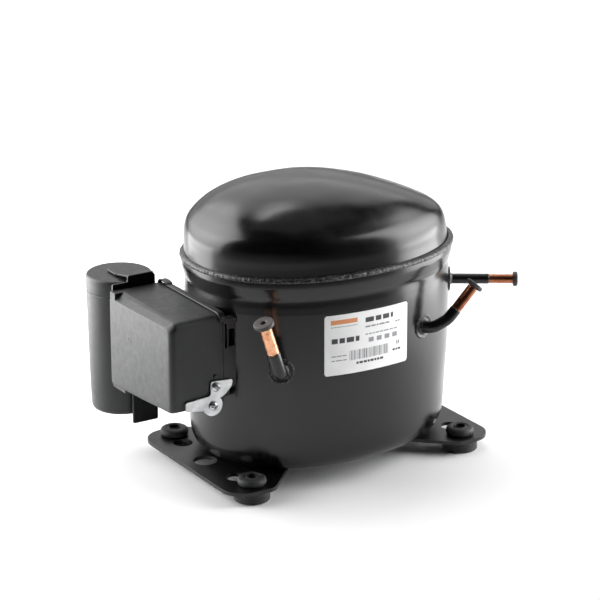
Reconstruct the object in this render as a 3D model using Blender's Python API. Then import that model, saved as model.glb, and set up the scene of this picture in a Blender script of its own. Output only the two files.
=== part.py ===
"""Hermetic reciprocating compressor: welded steel shell with a sprung motor and pump inside.

The scene is in metres, +Z up.  Dimensions below are in millimetres, measured in the shell's own
axes: X along the long side, Y towards the back, Z up from the underside of the rubber grommets.
"""

import math

import bmesh
import bpy
from mathutils import Vector
from mathutils.geometry import tessellate_polygon

MM = 0.001
SHELL_X, SHELL_Y = 3.2, -6.755  # shell centre, measured from the middle of the whole footprint
GAP = 0.3  # clearance left between neighbouring pieces

# shell
SHELL_SIDES = 40
SHELL_POWER = 2.15  # exponent of the superelliptic plan
WALL = 3.0
FLOOR_Z = 10.4
WALL_A, WALL_B = 92.5, 69.5
RIM_Z = 145.2
TOP_Z = 195.4
BEAD_A, BEAD_B, BEAD_Z = 95.6, 72.4, 145.8

# rating label on the front of the wall
LABEL_X = (-36.2, 26.2)
LABEL_Z = (79.6, 120.6)

# base plates and grommets
HOLE_X, HOLE_Y = 82.55, 50.8  # 165.1 x 101.6 mounting pattern
ALT_X, ALT_Y = 85.0, 35.0  # 170 x 70 mounting pattern
PLATE_Z = (7.5, 10.0)
PLATE_EDGE_X, PLATE_END_Y, PLATE_INNER_X = 103.0, 63.5, 46.0
GROMMET_BORE = 3.75

# connection tubes: point where the axis meets the shell, then bends
PROCESS_BASE = Vector((-62.0, -54.0, 85.0))
PROCESS_TIP = Vector((-81.4, -65.8, 122.6))
DISCHARGE_BASE = Vector((42.0, -63.0, 98.8))
DISCHARGE_KNEE = Vector((55.0, -73.2, 104.4))
DISCHARGE_TIP = Vector((72.2, -76.0, 124.0))
SUCTION_BASE = Vector((83.6, -32.5, 115.8))
SUCTION_TIP = Vector((120.6, -54.6, 115.3))
TUBE_R, TUBE_BORE = 3.7, 2.7
PROCESS_R, PROCESS_BORE = 4.2, 3.1
TUBE_SIDES = 12
COLLAR_R = 8.5

# terminal box on the -X end
BOX_Y = (-33.0, 48.0)
BOX_Z = (62.0, 122.6)
BOX_DROP = 5.0  # the bottom edge is lower at the +Y side
BOX_X = (-131.0, -96.0)
BOX_WALL = 2.2
HEADER_Y, HEADER_Z, HEADER_R = 8.0, 90.0, 15.7
PIN_CIRCLE, PIN_R = 8.0, 1.6
FENCE_STEP_X = -91.6  # the fence narrows here from the cover's outline to its throat
THROAT_Y, THROAT_Z = (-32.0, 33.0), (63.4, 115.6)

# run capacitor in its holder
CAP_X, CAP_Y, CAP_R = -110.1, 73.5, 22.2
CAP_Z = (29.5, 125.0)

# pump and motor, on the shell's vertical axis
THROW = 8.8
CYL_Z = 146.0
HEAD_Z = (128.0, 164.0)
BORE_R = 12.7
PISTON_R = 12.4
PIN_RADIUS = 7.0
SHAFT_R = 9.0
BLOCK_FACE_X = (24.5, 54.7)
STATOR_Z = (48.0, 88.0)
STATOR_R = 31.0
SLOT_R = 42.0
BOLT_X, BOLT_Y = 40.0, 36.0
PLATE_TOP = 120.0


def clear_scene():
    for obj in list(bpy.data.objects):
        bpy.data.objects.remove(obj, do_unlink=True)


def material(name, colour, metallic, roughness):
    mat = bpy.data.materials.new(name)
    mat.use_nodes = True
    shader = mat.node_tree.nodes["Principled BSDF"]
    shader.inputs["Base Color"].default_value = (*colour, 1.0)
    shader.inputs["Metallic"].default_value = metallic
    shader.inputs["Roughness"].default_value = roughness
    return mat


def to_world(point):
    return Vector((point[0] + SHELL_X, point[1] + SHELL_Y, point[2])) * MM


def place(name, bm, mat, origin=None, smooth=True):
    """Turns a bmesh in shell millimetres into an object whose origin is the given point."""
    bmesh.ops.recalc_face_normals(bm, faces=bm.faces)
    centre = to_world(origin if origin is not None else (0.0, 0.0, 0.0))
    for vert in bm.verts:
        vert.co = to_world(vert.co) - centre
    mesh = bpy.data.meshes.new(name)
    bm.to_mesh(mesh)
    bm.free()
    mesh.materials.append(mat)
    obj = bpy.data.objects.new(name, mesh)
    obj.location = centre
    bpy.context.scene.collection.objects.link(obj)
    if smooth:
        mesh.shade_smooth()
        mesh.set_sharp_from_angle(angle=math.radians(35))
    return obj


def cutter(name, bm):
    bmesh.ops.recalc_face_normals(bm, faces=bm.faces)
    for vert in bm.verts:
        vert.co = to_world(vert.co)
    mesh = bpy.data.meshes.new(name)
    bm.to_mesh(mesh)
    bm.free()
    obj = bpy.data.objects.new(name, mesh)
    bpy.context.scene.collection.objects.link(obj)
    obj.hide_render = True
    obj.display_type = "WIRE"
    return obj


def combine(obj, tool, operation):
    mod = obj.modifiers.new(operation.title() + "_" + tool.name, "BOOLEAN")
    mod.operation = operation
    mod.solver = "EXACT"
    mod.object = tool
    return obj


def loft(rings, close=False):
    """Joins rings of points with faces; a ring of one point is a pole.  close joins last to first."""
    bm = bmesh.new()
    loops = [[bm.verts.new(p) for p in ring] for ring in rings]
    pairs = list(zip(loops, loops[1:]))
    if close:
        pairs.append((loops[-1], loops[0]))
    for low, high in pairs:
        count = max(len(low), len(high))
        for i in range(count):
            j = (i + 1) % count
            if len(low) == 1:
                bm.faces.new((low[0], high[j], high[i]))
            elif len(high) == 1:
                bm.faces.new((low[i], low[j], high[0]))
            else:
                bm.faces.new((low[i], low[j], high[j], high[i]))
    if not close:
        for loop in (loops[0], loops[-1]):
            if len(loop) > 1:
                bm.faces.new(loop)
    return bm


def frame_of(axis):
    axis = Vector(axis).normalized()
    side = axis.orthogonal().normalized()
    return side, axis.cross(side), axis


def circle(centre, axis, radius, sides):
    u, v, _ = frame_of(axis)
    steps = [2 * math.pi * i / sides for i in range(sides)]
    return [Vector(centre) + radius * (math.cos(t) * u + math.sin(t) * v) for t in steps]


def turned(profile, centre, axis=(0, 0, 1), sides=20, ring_shape=False):
    """Body of revolution from (radius, height) pairs; ring_shape closes the profile on itself."""
    direction = Vector(axis).normalized()
    rings = []
    for radius, height in profile:
        middle = Vector(centre) + height * direction
        rings.append([middle] if radius == 0 else circle(middle, direction, radius, sides))
    return loft(rings, close=ring_shape)


def superellipse(a, b, z, power=SHELL_POWER, shift=(0.0, 0.0)):
    points = []
    for i in range(SHELL_SIDES):
        t = 2 * math.pi * i / SHELL_SIDES
        c, s = math.cos(t), math.sin(t)
        x = math.copysign(abs(c) ** (2 / power), c) * a
        y = math.copysign(abs(s) ** (2 / power), s) * b
        points.append(Vector((x + shift[0], y + shift[1], z)))
    return points


def plan_normal(point):
    """Outward horizontal normal of the shell wall at a point on it."""
    nx = math.copysign(abs(point.x / WALL_A) ** (SHELL_POWER - 1) / WALL_A, point.x)
    ny = math.copysign(abs(point.y / WALL_B) ** (SHELL_POWER - 1) / WALL_B, point.y)
    return Vector((nx, ny, 0)).normalized()


def flat_point(plane, u, v, depth):
    if plane == "Z":
        return Vector((u, v, depth))
    if plane == "Y":
        return Vector((u, depth, v))
    return Vector((depth, u, v))


def prism(outline, span, plane="Z", holes=()):
    """Straight extrusion of an outline with holes.  plane names the extrusion axis."""
    loops = [list(outline)] + [list(h) for h in holes]
    flat = [p for loop in loops for p in loop]
    bm = bmesh.new()
    low = [bm.verts.new(flat_point(plane, p[0], p[1], span[0])) for p in flat]
    high = [bm.verts.new(flat_point(plane, p[0], p[1], span[1])) for p in flat]
    polygons = [[Vector((p[0], p[1], 0)) for p in loop] for loop in loops]
    for a, b, c in tessellate_polygon(polygons):
        bm.faces.new((low[a], low[b], low[c]))
        bm.faces.new((high[c], high[b], high[a]))
    start = 0
    for loop in loops:
        count = len(loop)
        for i in range(count):
            p, q = start + i, start + (i + 1) % count
            bm.faces.new((low[p], low[q], high[q], high[p]))
        start += count
    return bm


def arc(cx, cy, radius, start, end, steps):
    turns = [math.radians(start + (end - start) * i / steps) for i in range(steps + 1)]
    return [(cx + radius * math.cos(t), cy + radius * math.sin(t)) for t in turns]


def round_hole(cx, cy, radius, sides=14):
    return arc(cx, cy, radius, 0, 360, sides)[:-1]


def rounded(points, radii, steps=3):
    """Polygon with filleted corners; a radius of 0 keeps the corner."""
    out = []
    count = len(points)
    for i, radius in enumerate(radii):
        here = Vector(points[i])
        if radius == 0:
            out.append(tuple(here))
            continue
        before = (Vector(points[i - 1]) - here).normalized()
        after = (Vector(points[(i + 1) % count]) - here).normalized()
        half = before.angle(after) / 2
        reach = radius / math.tan(half)
        centre = here + (before + after).normalized() * radius / math.sin(half)
        first = here + before * reach - centre
        last = here + after * reach - centre
        sweep = first.angle_signed(last)
        for k in range(steps + 1):
            turn = -sweep * k / steps
            c, s = math.cos(turn), math.sin(turn)
            out.append((centre.x + first.x * c - first.y * s, centre.y + first.x * s + first.y * c))
    return out


def rectangle(lo, hi, radius=0.0, steps=2):
    corners = [(lo[0], lo[1]), (hi[0], lo[1]), (hi[0], hi[1]), (lo[0], hi[1])]
    return rounded(corners, [radius] * 4, steps)


def box(lo, hi):
    return prism(rectangle(lo[:2], hi[:2]), (lo[2], hi[2]))


def soft_path(points, radius, steps=4):
    """Polyline through points with its corners rounded to a bend radius."""
    out = [Vector(points[0])]
    for before, here, after in zip(points, points[1:], points[2:]):
        here = Vector(here)
        back, ahead = Vector(before) - here, Vector(after) - here
        half = back.angle(ahead) / 2
        reach = min(radius / math.tan(half), back.length * 0.48, ahead.length * 0.48)
        first = here + back.normalized() * reach
        last = here + ahead.normalized() * reach
        for k in range(steps + 1):
            t = k / steps
            out.append(first * (1 - t) ** 2 + here * 2 * t * (1 - t) + last * t**2)
    out.append(Vector(points[-1]))
    return out


def swept(path, radii, sides=TUBE_SIDES, bore=None):
    """Round rod or tube along a path; radii is one radius or one for each path point."""
    if not hasattr(radii, "__len__"):
        radii = [radii] * len(path)
    tangents = []
    for i in range(len(path)):
        ahead = path[min(i + 1, len(path) - 1)] - path[max(i - 1, 0)]
        tangents.append(ahead.normalized())
    u = tangents[0].orthogonal().normalized()
    outer, inner = [], []
    for point, tangent, radius in zip(path, tangents, radii):
        u = (u - tangent * u.dot(tangent)).normalized()
        v = tangent.cross(u)
        steps = [2 * math.pi * k / sides for k in range(sides)]
        spokes = [math.cos(t) * u + math.sin(t) * v for t in steps]
        outer.append([point + radius * s for s in spokes])
        if bore:
            inner.append([point + bore * s for s in spokes])
    if not bore:
        return loft(outer)
    return loft(outer + inner[::-1], close=True)


def coil(cx, cy, z0, z1, radius, wire, turns, per_turn=8, sides=4):
    count = int(turns * per_turn)
    path = []
    for i in range(count + 1):
        t = 2 * math.pi * i / per_turn
        z = z0 + (z1 - z0) * i / count
        path.append(Vector((cx + radius * math.cos(t), cy + radius * math.sin(t), z)))
    return swept(path, wire, sides)


def build_shell(mats):
    outside = [
        (40.0, 20.0, FLOOR_Z),
        (72.0, 49.0, FLOOR_Z),
        (80.5, 57.5, 12.4),
        (86.5, 63.5, 17.4),
        (89.5, 66.5, 25.0),
        (90.4, 67.4, 36.0),
        (91.6, 68.6, 60.0),
        (WALL_A, WALL_B, 84.0),
        (WALL_A, WALL_B, 128.0),
        (90.8, 67.8, 135.5),
        (90.8, 67.8, 138.5),
        (94.6, 71.4, 142.0),
        (94.8, 71.6, RIM_Z),
    ]
    inside = [
        (91.2, 68.2, RIM_Z),
        (87.8, 64.8, 139.5),
        (87.8, 64.8, 134.5),
        (WALL_A - WALL, WALL_B - WALL, 127.0),
        (WALL_A - WALL, WALL_B - WALL, 84.0),
        (87.4, 64.4, 36.0),
        (86.0, 63.0, 27.0),
        (82.6, 59.6, 20.0),
        (77.5, 54.5, 15.6),
        (69.5, 46.5, FLOOR_Z + WALL),
        (38.0, 18.0, FLOOR_Z + WALL),
    ]
    rings = [[Vector((0, 0, FLOOR_Z))]]
    rings += [superellipse(*r) for r in outside + inside]
    rings += [[Vector((0, 0, FLOOR_Z + WALL))]]
    lower = place("lower_shell", loft(rings), mats["paint"])
    for name, base, radius, lean in (
        ("Cut_process", PROCESS_BASE, PROCESS_R, None),
        ("Cut_discharge", DISCHARGE_BASE, TUBE_R, None),
        ("Cut_suction", SUCTION_BASE, TUBE_R, SUCTION_TIP - SUCTION_BASE),
    ):
        axis = (lean or plan_normal(base)).normalized()
        hole = [(0, -9), (radius + GAP, -9), (radius + GAP, 9), (0, 9)]
        combine(lower, cutter(name, turned(hole, base, axis, TUBE_SIDES)), "DIFFERENCE")
    opening = [(0, -100), (HEADER_R + GAP, -100), (HEADER_R + GAP, -80), (0, -80)]
    middle = (0, HEADER_Y, HEADER_Z)
    combine(lower, cutter("Cut_header", turned(opening, middle, (1, 0, 0), 24)), "DIFFERENCE")

    foot = BEAD_Z - 0.3
    # half length, half width, height, power of the plan, centre: the crown leans towards -X
    dome = [
        (92.1, 69.1, foot, 2.15, (-0.6, 0.0)),
        (91.3, 68.5, 152.5, 2.16, (-1.2, 0.0)),
        (90.6, 68.0, 158.5, 2.19, (-1.7, 0.0)),
        (88.6, 66.5, 164.6, 2.26, (-2.6, 0.1)),
        (85.0, 64.0, 169.3, 2.34, (-4.0, 0.3)),
        (79.3, 60.4, 173.1, 2.44, (-6.1, 0.5)),
        (71.9, 55.7, 177.4, 2.52, (-8.6, 0.7)),
        (62.7, 49.8, 181.9, 2.57, (-11.4, 1.0)),
        (50.7, 41.7, 186.6, 2.60, (-14.5, 1.2)),
        (36.9, 31.9, 190.8, 2.60, (-17.2, 1.5)),
        (20.0, 18.5, 194.2, 2.60, (-19.4, 1.7)),
    ]
    crown = (-20.2, 1.8)
    under = []
    for i, (a, b, z, power, shift) in enumerate(dome):
        before, after = dome[max(i - 1, 0)], dome[min(i + 1, len(dome) - 1)]
        slope = Vector((after[2] - before[2], before[0] - after[0])).normalized() * WALL
        lower_z = z - slope.y if i else foot
        under.append((a - slope.x, b - slope.x, lower_z, power, shift))
    rings = [superellipse(*r) for r in dome] + [[Vector((*crown, TOP_Z))]]
    roof = [[Vector((*crown, TOP_Z - WALL))]] + [superellipse(*r) for r in reversed(under)]
    place("upper_shell", loft_cup(rings, roof), mats["paint"])

    bead = [
        (BEAD_A - 0.4, BEAD_B - 0.4, BEAD_Z - 2.6),
        (BEAD_A + 1.1, BEAD_B + 1.1, BEAD_Z - 0.6),
        (BEAD_A - 0.4, BEAD_B - 0.4, BEAD_Z + 2.2),
        (92.8, 69.8, BEAD_Z + 2.6),
        (92.8, 69.8, BEAD_Z - 0.2),
        (95.2, 72.0, BEAD_Z - 0.2),
    ]
    place("weld_bead", loft([superellipse(*r) for r in bead], close=True), mats["paint"])


def loft_cup(outer, inner):
    """Cup-shaped wall: outer rings end in a pole, inner rings start at one, and the rims join."""
    bm = bmesh.new()
    made = []
    for rings in (outer, inner):
        made.append([[bm.verts.new(p) for p in ring] for ring in rings])
    for loops in made:
        for low, high in zip(loops, loops[1:]):
            count = max(len(low), len(high))
            for i in range(count):
                j = (i + 1) % count
                if len(high) == 1:
                    bm.faces.new((low[i], low[j], high[0]))
                elif len(low) == 1:
                    bm.faces.new((low[0], high[j], high[i]))
                else:
                    bm.faces.new((low[i], low[j], high[j], high[i]))
    rim_out, rim_in = made[0][0], made[1][-1]
    for i in range(len(rim_out)):
        j = (i + 1) % len(rim_out)
        bm.faces.new((rim_out[i], rim_out[j], rim_in[j], rim_in[i]))
    return bm


def build_base(mats):
    for side, name in ((-1, "left"), (1, "right")):
        corners = [
            (-PLATE_EDGE_X, -PLATE_END_Y),
            (-72.5, -PLATE_END_Y),
            (-PLATE_INNER_X, -37.0),
            (-PLATE_INNER_X, 37.0),
            (-72.5, PLATE_END_Y),
            (-PLATE_EDGE_X, PLATE_END_Y),
        ]
        outline = rounded(corners, [16, 8, 0, 0, 8, 16], 5)
        holes = []
        for y in (-1, 1):
            holes.append(round_hole(-HOLE_X, y * HOLE_Y, 7.0))
            holes.append(round_hole(-ALT_X, y * ALT_Y, 6.6))
        holes.append(round_hole(-88.0, 0.0, 8.0))
        holes.append(rectangle((-73.5, -15.0), (-63.0, 13.0), 4.5))
        turned_out = [[(-side * p[0], p[1]) for p in loop] for loop in [outline] + holes]
        bm = prism(turned_out[0], PLATE_Z, holes=turned_out[1:])
        place("base_plate_" + name, bm, mats["paint"], smooth=False)

    profile = [
        (GROMMET_BORE, 0.0),
        (11.4, 0.0),
        (12.0, 0.8),
        (12.0, 6.4),
        (11.4, 7.2),
        (6.7, 7.2),
        (6.7, 10.3),
        (9.2, 10.3),
        (9.6, 12.0),
        (9.4, 14.6),
        (8.4, 16.0),
        (GROMMET_BORE, 16.0),
    ]
    for y, depth in ((-1, "front"), (1, "back")):
        for x, side in ((-1, "left"), (1, "right")):
            centre = (x * HOLE_X, y * HOLE_Y, 0)
            bm = turned(profile, centre, sides=14, ring_shape=True)
            place("grommet_" + depth + "_" + side, bm, mats["rubber"], centre)


def tube_with_collar(name, path, radius, bore, collar, mat):
    """Tube whose brazed collar stands on the shell at the given distances along its first leg."""
    start, reach = collar
    axis = (path[1] - path[0]).normalized()
    base = path[0]
    points = [base, base + axis * start]
    radii = [radius, radius]
    for step, size in ((0.1, COLLAR_R), (1.6, COLLAR_R - 0.6), (2.2, radius + 1.6), (reach, radius)):
        points.append(base + axis * (start + step))
        radii.append(size)
    for point in path[1:]:
        if (point - base).dot(axis) > start + reach + 0.5:
            points.append(point)
            radii.append(radius)
    return place(name, swept(points, radii, TUBE_SIDES, bore), mat, path[0])


def build_tubes(mats):
    inward = 8.0
    normal = plan_normal(PROCESS_BASE)
    knee = PROCESS_BASE + normal * 10.0
    path = soft_path([PROCESS_BASE - normal * inward, knee, PROCESS_TIP], 8.0)
    tube_with_collar("process_tube", path, PROCESS_R, PROCESS_BORE, (inward + 1.6, 4.2), mats["copper"])

    normal = plan_normal(DISCHARGE_BASE)
    first = DISCHARGE_BASE + normal * 7.5
    bends = [DISCHARGE_BASE - normal * inward, first, DISCHARGE_KNEE, DISCHARGE_TIP]
    path = soft_path(bends, 7.0)
    tube_with_collar("discharge_tube", path, TUBE_R, TUBE_BORE, (inward + 1.6, 3.0), mats["copper"])

    axis = (SUCTION_TIP - SUCTION_BASE).normalized()
    path = [SUCTION_BASE - axis * inward, SUCTION_BASE + axis * 20.0, SUCTION_TIP]
    tube_with_collar("suction_tube", path, TUBE_R, TUBE_BORE, (inward + 2.6, 3.4), mats["copper"])

    for name, knee, tip, radius, bore in (
        ("process_plug", PROCESS_BASE + plan_normal(PROCESS_BASE) * 10.0, PROCESS_TIP, 6.7, PROCESS_BORE),
        ("discharge_plug", DISCHARGE_KNEE, DISCHARGE_TIP, 6.0, TUBE_BORE),
        ("suction_plug", SUCTION_BASE, SUCTION_TIP, 5.2, TUBE_BORE),
    ):
        axis = (tip - knee).normalized()
        profile = [
            (0, -6.0),
            (bore - 0.6, -6.0),
            (bore - GAP, -5.0),
            (bore - GAP, GAP),
            (radius - 0.5, GAP),
            (radius, 0.9),
            (radius, 2.8),
            (radius - 0.5, 3.4),
            (1.7, 3.4),
            (1.7, 1.4),
            (0, 1.4),
        ]
        place(name, turned(profile, tip, axis, TUBE_SIDES), mats["cap"], tip)


def box_outline(inset):
    y0, y1 = BOX_Y[0] + inset, BOX_Y[1] - inset
    z0, z1 = BOX_Z[0] + inset, BOX_Z[1] - inset
    radius = max(4.0 - inset, 1.0)
    return rounded([(y0, z0), (y1, z0 - BOX_DROP), (y1, z1), (y0, z1)], [radius] * 4, 3)


def build_terminal_box(mats):
    def ring(inset, x):
        return [flat_point("X", p[0], p[1], x) for p in box_outline(inset)]

    out_x, in_x = BOX_X
    middle = (BOX_Y[0] + BOX_Y[1]) / 2, (BOX_Z[0] + BOX_Z[1]) / 2
    outer = [ring(0, in_x), ring(0, out_x + 3.2), ring(0.9, out_x + 0.9), ring(3.2, out_x)]
    outer.append([Vector((out_x, *middle))])
    inner = [[Vector((out_x + BOX_WALL, *middle))], ring(BOX_WALL, out_x + BOX_WALL)]
    inner.append(ring(BOX_WALL, in_x))
    place("terminal_cover", loft_cup(outer, inner), mats["plastic"], (in_x, *middle))

    def outline(lo, hi, x, radius):
        return [flat_point("X", p[0], p[1], x) for p in rectangle(lo, hi, radius, 3)]

    thick = 2.6
    lo, hi = (THROAT_Y[0], THROAT_Z[0]), (THROAT_Y[1], THROAT_Z[1])
    lo_in, hi_in = (lo[0] + thick, lo[1] + thick), (hi[0] - thick, hi[1] - thick)
    mouth, web = in_x + GAP, FENCE_STEP_X - 1.6
    rings = [ring(0.8, mouth), ring(0.8, FENCE_STEP_X)]
    rings += [outline(lo, hi, FENCE_STEP_X, 3.0), outline(lo, hi, -69.0, 3.0)]
    rings += [outline(lo_in, hi_in, -69.0, 1.0), outline(lo_in, hi_in, web, 1.0)]
    rings += [ring(3.4, web), ring(3.4, mouth)]
    fence = place("terminal_fence", loft(rings, close=True), mats["plastic"], smooth=False)
    wall = [superellipse(WALL_A + GAP, WALL_B + GAP, z) for z in (40, 134)]
    combine(fence, cutter("Cut_shell", loft(wall)), "DIFFERENCE")

    centre = (0, HEADER_Y, HEADER_Z)
    profile = [(0, -97.0), (11.5, -97.0), (HEADER_R, -94.5), (HEADER_R, -86.0), (11.0, -86.0)]
    profile += [(10.0, -90.0), (0, -90.0)]
    header = place("terminal_header", turned(profile, centre, (1, 0, 0), 24), mats["steel"])
    relay = box((-122.0, HEADER_Y - 16.0, HEADER_Z - 16.0), (-97.6, HEADER_Y + 16.0, HEADER_Z + 16.0))
    relay = place("start_relay", relay, mats["relay"], smooth=False)
    for turn, name in ((90, "common"), (210, "start"), (330, "run")):
        t = math.radians(turn)
        spot = (0, HEADER_Y + PIN_CIRCLE * math.cos(t), HEADER_Z + PIN_CIRCLE * math.sin(t))
        pin = turned([(0, -104.0), (PIN_R, -103.4), (PIN_R, -80.0), (0, -79.4)], spot, (1, 0, 0), 8)
        place("terminal_pin_" + name, pin, mats["steel"], (-90.0, *spot[1:]))
        sleeve = PIN_R + GAP
        hole = [(0, -104.6), (sleeve, -104.6), (sleeve, -78.0), (0, -78.0)]
        tool = cutter("Cut_pin_" + name, turned(hole, spot, (1, 0, 0), 8))
        combine(header, tool, "DIFFERENCE")
        combine(relay, tool, "DIFFERENCE")

    can = [(0, -119.0), (8.2, -119.0), (9.0, -118.0), (9.0, -105.0)]
    can += [(6.0, -105.0), (6.0, -99.0), (0, -99.0)]
    place("overload_protector", turned(can, (0, 34.6, 90.0), (1, 0, 0), 18), mats["relay"])

    strap = rounded(
        [(-119.5, 63.6), (-106.5, 57.2), (-101.4, 56.2), (-94.6, 60.0), (-94.6, 66.0), (-90.5, 68.6)]
        + [(-87.0, 72.0), (-87.0, 78.6), (-102.6, 78.6), (-102.6, 69.6), (-119.5, 69.6)],
        [0.5, 2, 4.5, 4, 2, 2, 2, 1, 1, 1, 0.5],
        2,
    )
    bores = [round_hole(-101.4, 63.0, 1.9, 8), round_hole(-99.2, 75.6, 1.9, 8)]
    back = BOX_Y[0] - GAP
    place("cord_clamp", prism(strap, (back - 1.4, back), "Y", bores), mats["zinc"], smooth=False)
    head = [(0, -3.6), (2.6, -3.4), (3.1, -2.2), (3.1, -1.7), (1.6, -1.7), (1.6, 0.05), (0, 0.05)]
    for name, x, z in (("clamp_screw_lower", -101.4, 63.0), ("clamp_screw_upper", -99.2, 75.6)):
        place(name, turned(head, (x, back, z), (0, 1, 0), 12), mats["zinc"], (x, back, z))


def build_capacitor(mats):
    low, high = CAP_Z
    centre = (CAP_X, CAP_Y, 0)
    profile = [
        (0, low),
        (CAP_R - 4.4, low),
        (CAP_R - 1.9, low + 2.2),
        (CAP_R - 0.6, 78.0),
        (CAP_R, high - 12.0),
        (CAP_R - 0.5, high - 11.6),
        (CAP_R - 0.5, high - 11.0),
        (CAP_R, high - 10.6),
        (CAP_R, high - 1.2),
        (CAP_R - 1.2, high),
        (2.0, high),
        (2.0, high - 2.4),
        (CAP_R - 2.6, high - 2.4),
        (CAP_R - 3.6, low + 3.0),
        (0, low + 3.0),
    ]
    place("capacitor_holder", turned(profile, centre, sides=24), mats["plastic"])
    tab = rectangle((CAP_X - 4.8, 25.3), (CAP_X + 14.0, 60.0), 1.0, 1)
    tab = prism(tab, (BOX_Y[1] + 0.5, BOX_Y[1] + 2.4), "Y")
    place("capacitor_bracket", tab, mats["plastic"], smooth=False)
    can = [(0, low + 3.4), (CAP_R - 4.6, low + 3.4), (CAP_R - 4.2, high - 8.0), (0, high - 8.0)]
    place("run_capacitor", turned(can, centre, sides=20), mats["steel"])

    # the clip stands on the box's side, leans over the holder's lid and ends in an arrowhead
    top = high + GAP
    back = BOX_Y[1] + GAP
    left, right = CAP_X - 7.0, CAP_X + 13.5
    wall = rounded(
        [(left, 100.0), (right, 100.0), (right, top + 5.0), (left, top + 5.0), (left, top + 0.7)]
        + [(CAP_X - 18.4, top + 0.7), (CAP_X - 18.4, 112.0), (left, 112.0)],
        [1, 1, 3, 1, 0, 1, 1, 0],
        2,
    )
    clip = place("capacitor_clip", prism(wall, (back, back + 1.7), "Y"), mats["plastic"], smooth=False)
    ramp = [(back, top + 3.2), (back + 0.9, top + 5.0), (68.0, top + 1.8), (68.0, top)]
    combine(clip, cutter("Clip_ramp", prism(ramp, (left, right - 1.0), "X")), "UNION")
    arrow = rounded(
        [(left, 66.0), (right - 1.0, 66.0), (CAP_X + 5.0, 86.0), (left, 78.0)],
        [1, 1, 3, 2],
        2,
    )
    combine(clip, cutter("Clip_arrow", prism(arrow, (top, top + 1.7))), "UNION")


def build_label(mats):
    """Thin plate that follows the front of the wall."""
    bm = bmesh.new()
    columns = 10
    rows = []
    for offset in (GAP, GAP + 0.3):
        line = []
        for i in range(columns + 1):
            x = LABEL_X[0] + (LABEL_X[1] - LABEL_X[0]) * i / columns
            a, b = WALL_A + offset, WALL_B + offset
            y = -b * (1 - abs(x / a) ** SHELL_POWER) ** (1 / SHELL_POWER)
            line.append([bm.verts.new((x, y, z)) for z in LABEL_Z])
        rows.append(line)
    back, front = rows
    for i in range(columns):
        bm.faces.new((front[i][0], front[i + 1][0], front[i + 1][1], front[i][1]))
        bm.faces.new((back[i][0], back[i][1], back[i + 1][1], back[i + 1][0]))
        bm.faces.new((front[i][0], back[i][0], back[i + 1][0], front[i + 1][0]))
        bm.faces.new((front[i][1], front[i + 1][1], back[i + 1][1], back[i][1]))
    for i in (0, columns):
        bm.faces.new((front[i][0], front[i][1], back[i][1], back[i][0]))
    place("rating_label", bm, mats["label"], smooth=False)


def build_motor(mats):
    outline = rounded([(-53, -47), (53, -47), (53, 47), (-53, 47)], [9] * 4, 2)
    bore = []
    slots = 12
    for i in range(slots):
        middle = 360.0 * i / slots
        bore += arc(0, 0, STATOR_R, middle + 3.5, middle + 26.5, 2)[:3]
        tip, neck = STATOR_R + 2, STATOR_R + 4
        corners = ((tip, 26.5), (neck, 21.0), (SLOT_R, 21.0), (SLOT_R, 39.0), (neck, 39.0), (tip, 33.5))
        for radius, turn in corners:
            t = math.radians(middle + turn)
            bore.append((radius * math.cos(t), radius * math.sin(t)))
    holes = [round_hole(x * BOLT_X, y * BOLT_Y, 2.6, 8) for x in (-1, 1) for y in (-1, 1)]
    place("stator_core", prism(outline, STATOR_Z, holes=[bore] + holes), mats["iron"], smooth=False)

    low, high = STATOR_Z
    coils = (("winding_lower", low - 13.0, low - GAP), ("winding_upper", high + GAP, high + 13.0))
    for name, z0, z1 in coils:
        profile = [(33.5, z0 + 3), (36.0, z0), (40.0, z0), (SLOT_R, z0 + 3), (SLOT_R, z1 - 2)]
        profile += [(40.5, z1), (35.0, z1), (33.5, z1 - 2)]
        bm = turned(profile, (0, 0, 0), sides=20, ring_shape=True)
        place(name, bm, mats["enamel"])

    edge = STATOR_R - 0.5
    profile = [(SHAFT_R + GAP, low + 2), (20.0, low + 2), (21.0, low - 2), (29.0, low - 2), (edge, low + 1)]
    profile += [(edge, high - 1), (29.0, high + 2), (21.0, high + 2), (20.0, high - 2)]
    profile += [(SHAFT_R + GAP, high - 2)]
    place("rotor", turned(profile, (0, 0, 0), sides=20, ring_shape=True), mats["aluminium"])

    for y, depth in ((-1, "front"), (1, "back")):
        for x, side in ((-1, "left"), (1, "right")):
            tag = depth + "_" + side
            spot = (x * BOLT_X, y * BOLT_Y, 0)
            bolt = [(0, 38.0), (3.0, 38.0), (4.2, 40.0), (4.2, low - GAP), (2.1, low - GAP)]
            bolt += [(2.1, 104.0), (0, 104.0)]
            place("stator_bolt_" + tag, turned(bolt, spot, sides=10), mats["steel"], spot)
            seat = [(0, 14.4), (4.0, 14.4), (4.0, 20.0), (2.6, 23.0), (0, 23.0)]
            place("spring_seat_" + tag, turned(seat, spot, sides=10), mats["steel"], spot)
            spring = coil(spot[0], spot[1], 17.0, low - 1.5, 6.6, 1.0, 5)
            place("spring_" + tag, spring, mats["steel"], spot)


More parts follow.
